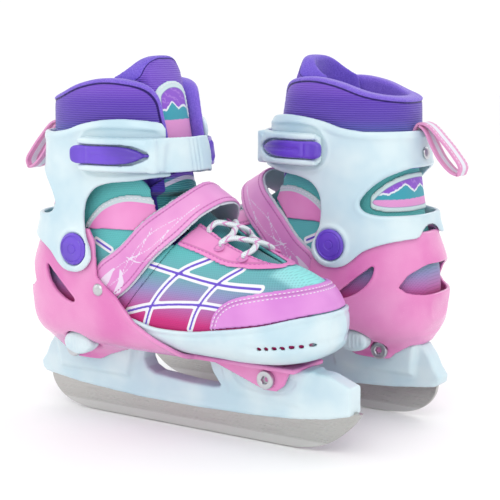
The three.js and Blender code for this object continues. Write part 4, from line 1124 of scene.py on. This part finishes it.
cuffWindow = [(-50, 156), (3, 155.5), (25, 156), (34, 159), (37, 164), (33.5, 171), (22.5, 181.5), (9, 189),
              (-50, 192)]
cuffWindowEdge = [*cuffWindow[:1], *curveThrough(cuffWindow[1:8], 6), cuffWindow[8]]
room = Room((-2, -48, 152), (40, 48, 190))
badgeInset = 1.2
turn = np.hypot(room.x - ankle[0], room.z - ankle[1])
shape = both(0.7, band(room.boot, 0.05, 1.6), room.side(cuffWindowEdge) + badgeInset, room.x - 34,
             turn - 68.5)
fromField("heelBadge", room, shape, "heelBadge", "chassis", "upper_fabric",
          facts={"rim": lambda p: -outline(cuffWindowEdge, p[:, 0], p[:, 2]) - badgeInset})
print("ankle pieces made")


# Padded collar and tongue, which turn with the cuff.

collar = {"inner": -7.0, "outer": 4.0, "round": 3.6, "seam": 3.6, "puff": 0.8, "gap": 21.0, "bulge": 4.5,
          "corner": 15.0, "lap": 5.0, "lapInner": 6.8, "front": 80, "seamR": 70.8}
collarTop = [(14, 239), (36, 243.5), (58, 251), (78, 254.5), (96, 253.5), (112, 249), (121, 242), (126, 230)]
collarSide = [(-60, 186), (-30, 236), *curveThrough(collarTop, 5), (150, 222), (150, 186)]
room = Room((4, -50, 182), (136, 50, 260))


def collarEdge(top, x, y):  # the top edge, rounded down into the front gap
    gap = np.minimum(collar["gap"] - abs(y) - collar["lap"] * (y < 0), x - collar["front"])
    return both(collar["corner"], top, gap)


edge = collarEdge(room.side(collarSide), room.x, room.y)
inset = -edge
outer = collar["outer"] + collar["puff"] * near(inset - 1.8, 1.8) - 1.0 * near(inset - collar["seam"], 0.8)
outer = outer + 0.5 * rise(inset, 5, 11) * (0.6 + 0.4 * np.cos(room.y / 7))
outer = outer + collar["bulge"] * rise(room.y, 14, 24) * rise(room.x, 84, 100)
seam = collar["seamR"] - np.hypot(room.x - ankle[0], room.z - ankle[1])
lap = rise(-abs(room.y), -22.5, -20.5) * rise(room.x, 80, 90)  # where the collar laps over the tongue
inner = collar["inner"] + collar["lapInner"] * lap
shape = both(collar["round"], band(room.boot, inner, outer), edge)
shape = both(1.0, shape, seam)


def collarFact(p):
    return -collarEdge(outline(collarSide, p[:, 0], p[:, 2]), p[:, 0], p[:, 1])


fromField("collar", room, shape, "collar", "cuff_unit", "fleece", ["collar"],
          facts={"rim": collarFact, "depth": depthFact})

tongue = {"inner": -14.2, "front": -1.6, "wing": -7.7, "top": -3.6, "round": 4.0, "seam": 3.4}
tongueTop = curveThrough([(74, 262.5), (88, 268.5), (104, 271), (150, 271)], 4)
tongueSide = [(100, 170.8), (84, 190), (74, 218), (74, 262), *tongueTop, (180, 242.8)]
tongueFront = [(-20.5, 120), (20.5, 120), (21.5, 203), (25.5, 213), (26, 232), (25.8, 247), (23.2, 258),
               (17.2, 266), (9, 270.3), (0, 271.4), (-9, 270.3), (-17.2, 266), (-23.2, 258), (-25.8, 247),
               (-26, 232), (-25.5, 213), (-21.5, 203)]
tongueArch = [*tongueFront[:2], *curveThrough(tongueFront[2:], 4)]


def tongueRim(p):  # wider where the surface turns away at the sides
    return -outline(tongueArch, p[:, 1], p[:, 2]) * (1 + 3.2 * (abs(p[:, 1]) / 26) ** 2)


room = Room((66, -34, 162), (142, 34, 274))
arch = room.front(tongueArch)
edge = both(3.0, room.side(tongueSide), arch)
beside = rise(abs(room.y), 19.5, 22.5) * rise(-room.z, -258, -248)
outer = tongue["front"] + (tongue["wing"] - tongue["front"]) * beside
outer = outer + (tongue["top"] - tongue["front"]) * rise(room.z, 252, 266) * (1 - beside)
outer = outer + 0.6 * near(-arch - 1.7, 1.6) - 0.9 * near(-arch - tongue["seam"], 0.8)
shape = both(tongue["round"], band(room.boot, tongue["inner"], outer), edge)
fromField("tongue", room, shape, "tongue", "cuff_unit", "fleece", ["tongue"],
          facts={"rim": tongueRim, "depth": depthFact})

# The lower tongue fills the opening under the buckle; it is baked in place and not attached to a body.
room = Room((96, -27, 142), (134, 27, 190))
outer = -9.5 + (6.6 + 1.6 * (1 - (room.y / 19) ** 2).clip(0, 1)) * rise(room.z, 170, 176)
under = (room.z - 132.4 - 0.9 * (room.x - ankle[0])) * 0.74
wide = abs(room.y) - 25 + 6 * rise(room.z, 182, 187)
shape = both(1.0, band(room.boot, -13.5, outer), under, wide, 146 - room.z)
fromField("lowerTongue", room, shape, "tongue", "cuff_unit", "fleece",
          bend=((112, 0, 162), (120, 0, 186)), facts={"rim": noRim, "depth": lambda p: np.full(len(p), 0.0)})

badgeFront = curveThrough([(-19, 207), (0, 206), (19, 207), (19.2, 234), (17.5, 244.5), (10, 250.5),
                           (0, 252.5), (-10, 250.5), (-17.5, 244.5), (-19.2, 234)], 5, True)
room = Room((96, -22, 202), (136, 22, 256))
shape = both(0.7, band(room.boot, tongue["front"] - 0.5, tongue["front"] + 1.1), room.front(badgeFront))
badgeSkin = fromField("tongueBadge", room, shape, "tongueBadge", "cuff_unit", "upper_fabric",
                      facts={"rim": lambda p: -outline(badgeFront, p[:, 1], p[:, 2]) + 9 * (p[:, 2] < 226)})
print("padded pieces made")


# Cuff.

cuff = {"inner": 7.8, "outer": 11.0, "ridge": 1.0, "boss": 1.0, "bossR": 15.0, "round": 1.7, "gap": 24.5,
        "seat": 2.6, "seatR": 12.2}
cuffSide = [(-40, 138), (-4, 139.5), (17, 135.5), (33, 129), (41, 122), (48, 117.5), (58, 116), (67, 118.5),
            (73.5, 126), (73, 133), (69, 142), (67, 154), (68.5, 168), (75, 176.5), (86, 181), (106, 183.5),
            (121, 186), (160, 189), (160, 213), (127, 218.5), (121, 223.5), (105, 226.5), (85, 226),
            (65, 222.5), (52, 218.5), (36, 216), (-40, 216)]
cuffEdge = [cuffSide[0], *curveThrough(cuffSide[1:18], 4), *curveThrough(cuffSide[18:26], 4), cuffSide[26]]
cuffTop = curveThrough([(-40, 216), (36, 216), (52, 218.5), (65, 222.5), (85, 226), (105, 226.5),
                        (121, 223.5), (127, 218.5), (140, 216)], 5)
recess = curveThrough([(74, 186.5), (120, 188.5), (150, 190), (150, 216.5), (120, 219), (90, 220.5),
                       (72, 218.5), (64, 210), (62, 201), (65, 192)], 5, True)
room = Room((0, -54, 112), (142, 54, 230))
edge = room.side(cuffEdge)
window = room.side(cuffWindowEdge)
topLine = room.sideLine(cuffTop)
bossR = np.hypot(room.x - ankle[0], room.z - ankle[1])
outerSide = rise(-room.y, -4, 4)
outer = cuff["outer"] + cuff["ridge"] * near(topLine - 4.0, 2.0) + 0.4 * near(topLine - 1.0, 1.2)
outer = outer + cuff["boss"] * (rise(-bossR, -cuff["bossR"] - 1.0, -cuff["bossR"] + 1.0))
outer = outer + 0.9 * near(room.side(recess) - 0.5, 1.4) * outerSide
outer = outer + 0.5 * near(window - 2.2, 1.6)
gap = np.minimum(cuff["gap"] - abs(room.y), room.x - 95)
shape = both(cuff["round"], band(room.boot, cuff["inner"], outer), edge, -window, gap)
capFace = {}
for side, node in ((-1, "outer"), (1, "inner")):  # a flat seat under each pivot cap
    low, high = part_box("right_pivot_cap_" + node)
    capFace[side] = abs((low[1] if side < 0 else high[1]) * 1000 - pair["centre"]["right"])
    shape = both(0.5, shape, -both(0.3, bossR - cuff["seatR"], capFace[side] - cuff["seat"] - side * room.y))
fromField("cuffShell", room, shape, "white", "cuff_unit", "white_plastic", ["cuff"])


def surfaceY(x, z, offset, side=-1):  # where the boot's offset surface stands beside the middle plane
    y = np.arange(0, 62, 0.25)
    line = np.stack([np.full_like(y, x), side * y, np.full_like(y, z)], 1)
    value = sample(bootField, line) - offset
    index = np.argmax(value > 0)
    return side * (y[index - 1] + 0.25 * -value[index - 1] / max(value[index] - value[index - 1], 1e-6))


capProfile = [(0.0, 0.0), (11.2, 0.0), (11.5, 0.5), (11.5, 1.7), (11.0, 2.3), (9.8, 2.6), (9.4, 2.2),
              (8.9, 2.2), (8.5, 2.6), (4.0, 2.9), (3.6, 2.6), (3.0, 2.6), (2.7, 3.0), (0.01, 3.1)]
capSunk = 2.3  # the cap's foot below the CAD cap's outer face
for side, node in ((-1, "outer"), (1, "inner")):
    at = np.array((ankle[0], side * (capFace[side] - capSunk), ankle[1]))
    spun("pivotCap" + node.title(), capProfile, at, (0, side, 0), "purple", "chassis", "cap_plastic",
         ["pivot_cap_" + node], sides=64)
print("cuff made")


# Ratchet buckle: plate, lever, pin and toothed strap.

buckle = {"inner": 13.8, "outer": 15.8, "low": 189.5, "high": 214.5, "middle": 202, "pinX": 124.0,
          "pinY": -40.224, "end": 13.6, "groove": 0.7, "leverInner": 16.3}
low, high, middle = buckle["low"], buckle["high"], buckle["middle"]
plateSide = [(66, 196), (67.5, 191.5), (73, low), (220, low), (220, high), (73, high), (67.5, 212.5),
             (66, 208)]
room = Room((56, -64, 184), (152, 18, 220))
front = room.y - buckle["end"] + 0.02 * (room.z - middle) ** 2
grooves = buckle["groove"] * sum(near(room.y + at, 0.8) for at in (2.5, 6.5, 10.5)) * (room.x > 100)
plateShape = both(1.4, band(room.boot, buckle["inner"], buckle["outer"] - grooves),
                  room.side(plateSide), front)
foot = both(1.0, band(room.boot, 11.4, buckle["outer"]), 66 - room.x, room.x - 98,
            abs(room.z - middle) - 9.5, room.y + 8)
walls = []
for low, high in ((190.5, 194.8), (209.2, 213.5)):
    slopeDown = 2.2 * rise(room.x, 112, 128) + 1.2 * rise(-room.x, -80, -68)
    walls.append(both(1.6, band(room.boot, 14.8, 20.8 - slopeDown), low - room.z, room.z - high,
                      68 - room.x, room.x - 128.5, room.y + 10))
leverArch = [(60, 194.4), (104, 194.4), (111, 195.2), (117, 197.6), (121.5, 200.2), (124, 202),
             (121.5, 203.8), (117, 206.4), (111, 208.8), (104, 209.6), (60, 209.6)]
hood = both(0.9, -room.side(leverArch), abs(room.z - middle) - 8.5, 104 - room.x, room.x - 128.5,
            room.y + 10, band(room.boot, 14.8, 20.9 - 1.6 * rise(room.x, 122, 129)))
pinLine = np.hypot(room.x - buckle["pinX"], room.y - buckle["pinY"])
cover = both(1.0, pinLine - 2.4, abs(room.z - middle) - 11.6)
shape = either(3.0, either(1.0, plateShape, foot, *walls, hood), cover)
shape = shape + 0.45 * near(room.x - 104, 0.7) * (room.boot > 14.6) * (room.y < -10)
shape = np.maximum(shape, -np.maximum(pinLine - 1.2, abs(room.z - middle) - 11.2))
fromField("buckleFrame", room, shape, "white", "cuff_unit", "white_plastic", ["buckle_frame"])

leverSide = curveThrough([(62.9, 202), (63.6, 206), (66.5, 208.1), (80, 208.2), (100, 208.2), (109, 207.2),
                          (115, 204.9), (118.5, 202), (115, 199.1), (109, 196.8), (100, 195.8), (80, 195.8),
                          (66.5, 195.9), (63.6, 198)], 4, True)
slot = room.sideLine([(82, middle), (116, middle)])
outer = 21.2 + 0.7 * rise(-room.x, -72, -65) - 0.9 * near(slot, 1.1) - 0.5 * near(room.x - 77, 0.9)
lever = both(1.6, band(room.boot, buckle["leverInner"], outer), room.side(leverSide))
arm = both(0.4, band(room.boot, buckle["leverInner"], 18.8), abs(room.z - middle) - 1.2, 110 - room.x,
           room.x - 123.2, room.y + 20)
shape = either(0.6, lever, arm)
fromField("buckleLever", room, shape, "purple", "lever", "purple_plastic", ["buckle_lever"])
spun("leverPin", [(0.01, 0), (0.9, 0), (1.15, 0.3), (1.15, 20.9), (0.9, 21.2), (0.01, 21.2)],
     np.array((buckle["pinX"], buckle["pinY"], 191.4)), (0, 0, 1), "zinc", "cuff_unit", "zinc", ["lever_pin"],
     sides=24)

ladder = {"inner": 11.4, "outer": 13.2, "pitch": 2.6}
room = Room((80, -54, 188), (150, 54, 216))
path = np.minimum(both(0, -19.5 - room.y, 84 - room.x), both(0, 101 - room.x, room.y + 19.0))
border = 0.3 * (abs(room.z - middle) > 6.6)
shape = both(1.2, band(room.boot, ladder["inner"], ladder["outer"] + border), path, abs(room.z - middle) - 10)
ladderSkin = fromField("ladderStrap", room, shape, "purple", "cuff_unit", "purple_plastic",
                       ["ladder_strap"])


def trace(skin, fact, level, keep):
    points, faces, _ = skin
    return lineAlong(points, faces, fact(points), level, keep)


teeth = trace(ladderSkin, lambda p: p[:, 2] - 202.01, 0.0,
              lambda p: (sample(bootField, p) > 12.6) & (p[:, 1] > -40) & (p[:, 1] < 30) & (p[:, 0] > 84))
row("ladderTeeth", "tooth", [teeth],
    {"Spacing": ladder["pitch"], "Length": 1.5, "Width": 11.5, "Height": 1.3},
    "purple", "cuff_unit", "purple_plastic")
print("buckle made")


# Pull loop, rivets, bolts.

loop = {"half": 7.5, "thick": 1.8, "seam": 5.9}
outerStrand = [(12, 191), (12.3, 205), (12.8, 215), (9, 220.6), (2.5, 219.5), (-8, 210), (-18, 199),
               (-24, 190), (-22.5, 184.5)]
innerStrand = [(-22.5, 184.5), (-17, 186.5), (-8, 195), (-1, 206), (4, 215.5), (8.4, 219.4)]


def tape(path, half, thick):  # a flat woven band swept along a path in x and z
    path = curveThrough(path, 8)
    d = np.gradient(path, axis=0)
    d /= np.linalg.norm(d, axis=1)[:, None]
    normal = np.stack([-d[:, 1], d[:, 0]], 1)
    section = [(-half, -0.4), (-half + 0.5, -0.5), (0, -0.5), (half - 0.5, -0.5), (half, -0.4), (half, 0.4),
               (half - 0.5, 0.5), (0, 0.5), (-half + 0.5, 0.5), (-half, 0.4)]
    strips = []
    for y, h in section:
        x, z = (path + normal * h * thick).T
        strips.append(np.stack([x, np.full(len(path), y), z], 1))
    points = np.stack(strips, 1).reshape(-1, 3)
    index = np.arange(len(points)).reshape(len(path), len(section))
    run = np.concatenate([[0], np.cumsum(np.linalg.norm(np.diff(path, axis=0), axis=1))])
    return points, wrapped(index) + [index[0][::-1], index[-1]], np.repeat(run, len(section))


for name, strand, stands in (("pullLoop", outerStrand, ["pull_loop"]), ("pullLoopInner", innerStrand, [])):
    points, faces, run = tape(strand, loop["half"], loop["thick"])
    base = meshOf(name, points, faces, {"along": run})
    outward(base)
    settle(name, base, "webbing", "cuff_unit", "webbing", stands, sharp=50)
loopSeams = []
for y in (-loop["seam"], loop["seam"]):
    strand = curveThrough(outerStrand[3:], 8)
    loopSeams.append(polyline([(x - 0.62, y, z + 0.72) for x, z in strand]))
row("loopStitches", "stitch", loopSeams, seamSizes, "thread", "cuff_unit", "webbing",
    facing=np.tile((-0.65, 0, 0.76), (sum(len(p) for p, _ in loopSeams), 1)))

dome = [(0.01, 0.0), (4.3, 0.0), (4.5, 0.3), (4.2, 0.9), (3.2, 1.55), (1.8, 1.95), (0.01, 2.1)]
y = surfaceY(79, 105, heel["outer"])
out = slope(bootField, np.array([(79, y, 105)]))[0]
spun("strapRivet", dome, np.array((79, y - 0.1, 105)), out, "zinc", "chassis", "zinc", ["strap_rivet"],
     sides=40)
low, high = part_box("right_loop_rivet")
at = np.array((low[0] * 1000 + pair["middle"] + 1.9, 0, 199))
spun("loopRivet", dome, at, (-1, 0, 0.12), "zinc", "cuff_unit", "zinc", ["loop_rivet"], sides=40)

boltHead = [(0.01, -9.0), (3.0, -9.0), (3.0, 0.0), (6.6, 0.0), (6.6, 2.0), (6.2, 2.7), (5.4, 3.0),
            (3.3, 3.0), (2.9, 2.7), (2.55, 2.4), (2.55, -0.4), (0.01, -0.8)]
nutHead = [(0.01, -9.0), (3.2, -9.0), (3.2, 0.0), (6.6, 0.0), (6.6, 1.9), (6.0, 2.7), (4.6, 3.0),
           (3.6, 3.0), (3.2, 2.5), (0.01, 2.2)]
socketFrom = 9  # the bolt's profile is six-sided from this point on
for name, (x, z, face) in boltPlaces.items():
    spun(name + "Bolt", boltHead, np.array((x, -face - 0.3, z)), (0, -1, 0), "zinc", "chassis", "zinc",
         [name + "_bolt"], hexFrom=socketFrom)
    spun(name + "Nut", nutHead, np.array((x, face + 0.3, z)), (0, 1, 0), "zinc", "chassis", "zinc",
         [name + "_nut"])
print("fasteners made")


# Laces and eyelets.

laces = {"r": 2.1, "sides": 14, "wide": 1.15, "flat": 0.95, "above": 0.4, "over": 1.1, "under": -0.9,
         "tuck": 2.5}
laceRuns = [  # x, y and the extra height of each point
    [(184, -19, 0), (185, -8, 1), (180, 4, 2), (170, 14, 1), (166, 20, 0)],
    [(184, 19, 0), (185, 8, 1), (180, -4, 2), (170, -14, 1), (166, -20, 0)],
    [(166, -20, 0), (168, -9, 2.5), (163, 3, 3), (157, 12, 2.5), (154, 17, 0)],
    [(166, 20, 0), (168, 9, 2.5), (163, -3, 3), (157, -12, 2.5), (154, -17, 0)],
]


def instepZ(x, y):  # the height of the boot's surface over the instep
    z = np.arange(96, 180, 0.25)
    value = sample(bootField, np.stack([np.full_like(z, x), np.full_like(z, y), z], 1))
    return z[len(z) - 1 - np.argmax(value[::-1] < 0)]


points, faces, run, turnRound = [], [], [], []
clear = laces["r"] * laces["wide"] + laces["above"]
for i, lace in enumerate(laceRuns):
    lift = laces["over"] if i % 2 else laces["under"]
    path = curveThrough([(x, y, instepZ(x, y) + clear + h + (lift if 0 < j < 4 else 0))
                         for j, (x, y, h) in enumerate(lace)], 9)
    path[[0, -1], 2] -= laces["tuck"]
    d = np.gradient(path, axis=0)
    d /= np.linalg.norm(d, axis=1)[:, None]
    side = np.cross(d, (0, 0, 1.0))
    side /= np.linalg.norm(side, axis=1)[:, None]
    up = np.cross(side, d)
    angle = np.arange(laces["sides"]) * math.tau / laces["sides"]
    rings = (path[:, None, :] + laces["r"] * (side[:, None, :] * np.cos(angle)[:, None] * laces["wide"]
                                              + up[:, None, :] * np.sin(angle)[:, None] * laces["flat"]))
    start = sum(len(p) for p in points)
    index = np.arange(rings.shape[0] * rings.shape[1]).reshape(rings.shape[:2]) + start
    points.append(rings.reshape(-1, 3))
    faces += wrapped(index) + [index[0][::-1], index[-1]]
    length = np.concatenate([[0], np.cumsum(np.linalg.norm(np.diff(path, axis=0), axis=1))])
    run.append(np.repeat(length, laces["sides"]))
    turnRound.append(np.tile(np.abs(np.arange(laces["sides"]) / laces["sides"] - 0.5) * 2, len(path)))
base = meshOf("laces", np.vstack(points), faces,
              {"along": np.concatenate(run), "round": np.concatenate(turnRound)})
outward(base)
settle("laces", base, "cord", "toe_unit", "lace_cord", ["lace"])

eyelet = {"wide": 8.0, "lift": 2.1, "spacing": 5.0}
holes = []
for x, y in ((184, 20.5), (184, -20.5), (166, 22.0), (166, -22.0)):
    z = instepZ(x, y)
    out = slope(bootField, np.array([(x, y, z)]))[0]
    holes.append((np.array((x, y, z)) + out * eyelet["lift"], out))
points = np.array([c + d for c, _ in holes for d in ((-0.4, 0, 0), (0.4, 0, 0))])
edges = np.array([(2 * i, 2 * i + 1) for i in range(4)])
wide = eyelet["wide"]
row("eyelets", "ring", [(points, edges)],
    {"Spacing": eyelet["spacing"], "Length": wide, "Width": wide, "Height": wide},
    "eyeletRing", "toe_unit", "pink_plastic", facing=np.repeat([o for _, o in holes], 2, axis=0))


# Stitched seams.

def onOuter(offset):
    return lambda p: sample(bootField, p) > offset


for seamName, skin, fact, level, keep, paint, body, finish in (
        ("strapStitches", strapSkin, strapFact, strap["seamIn"],
         lambda p: (sample(crownField, p) > 2.8) & (p[:, 2] < 186), "pinkThread", "chassis", "pink_vinyl"),
        ("stayStitches", staySkin, stayFact, 2.6, onOuter(1.2), "pinkThread", "toe_unit", "pink_vinyl"),
        ("capStitches", capSkin, capFacts["rim"], 2.2, onOuter(1.5), "thread", "toe_unit", "pink_vinyl"),
        ("capStitchesInner", capSkin, capFacts["rim"], 4.8, onOuter(1.5), "thread", "toe_unit", "pink_vinyl"),
        ("panelStitches", panelSkin, panelFact, 2.2, onOuter(1.1), "thread", "chassis", "pink_vinyl"),
        ("badgeStitches", badgeSkin, lambda p: -outline(badgeFront, p[:, 1], p[:, 2]), 1.5,
         lambda p: (sample(bootField, p) > tongue["front"] + 0.7) & (p[:, 2] > 228), "thread", "cuff_unit",
         "upper_fabric")):
    line = trace(skin, fact, level, keep)
    if len(line[0]) < 2:
        raise RuntimeError(seamName + " has no line")
    field = crownField if seamName == "strapStitches" else bootField
    row(seamName, "stitch", [line], seamSizes, paint, body, finish, field)
print("seams made")


# CAD pieces that stay: their materials follow their own coordinates.

zincOwn = Paint("zincOwn", Metallic=1.0)
coords = zincOwn.node("ShaderNodeTexCoord", output=3)
lines = zincOwn.noise(coords, 900.0, 3, 0.6)
zincOwn.set("Base Color", zincOwn.mix(lines.over(0.3, 0.7), rgb(214, 216, 220), rgb(176, 178, 184)))
zincOwn.set("Roughness", lines * 0.2 + 0.2)
zincOwn.bump(lines, 0.08)
for name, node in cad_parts.items():
    if not node.hide_render:
        for index in range(max(1, len(node.data.materials))):
            if node.material_slots:
                node.material_slots[index].material = zincOwn.material
        print("kept from CAD:", name)


# Floor.

floorPaint = Paint("paleFloor", Roughness=0.6, Specular_IOR_Level=0.2)
grain = floorPaint.noise(floorPaint.node("ShaderNodeTexCoord", output=3), 14.0, 4)
floorPaint.set("Base Color", floorPaint.mix(grain.over(0.3, 0.7), (0.95, 0.95, 0.95), (0.96, 0.96, 0.96)))
ground = {"half": 6, "level": -0.0006}  # metres
mesh = bpy.data.meshes.new("floor")
mesh.from_pydata([(x * ground["half"], y * ground["half"], ground["level"])
                  for x, y in ((-1, -1), (1, -1), (1, 1), (-1, 1))], [], [(0, 1, 2, 3)])
mesh.materials.append(floorPaint.material)
floor = bpy.data.objects.new("floor", mesh)
bpy.context.collection.objects.link(floor)
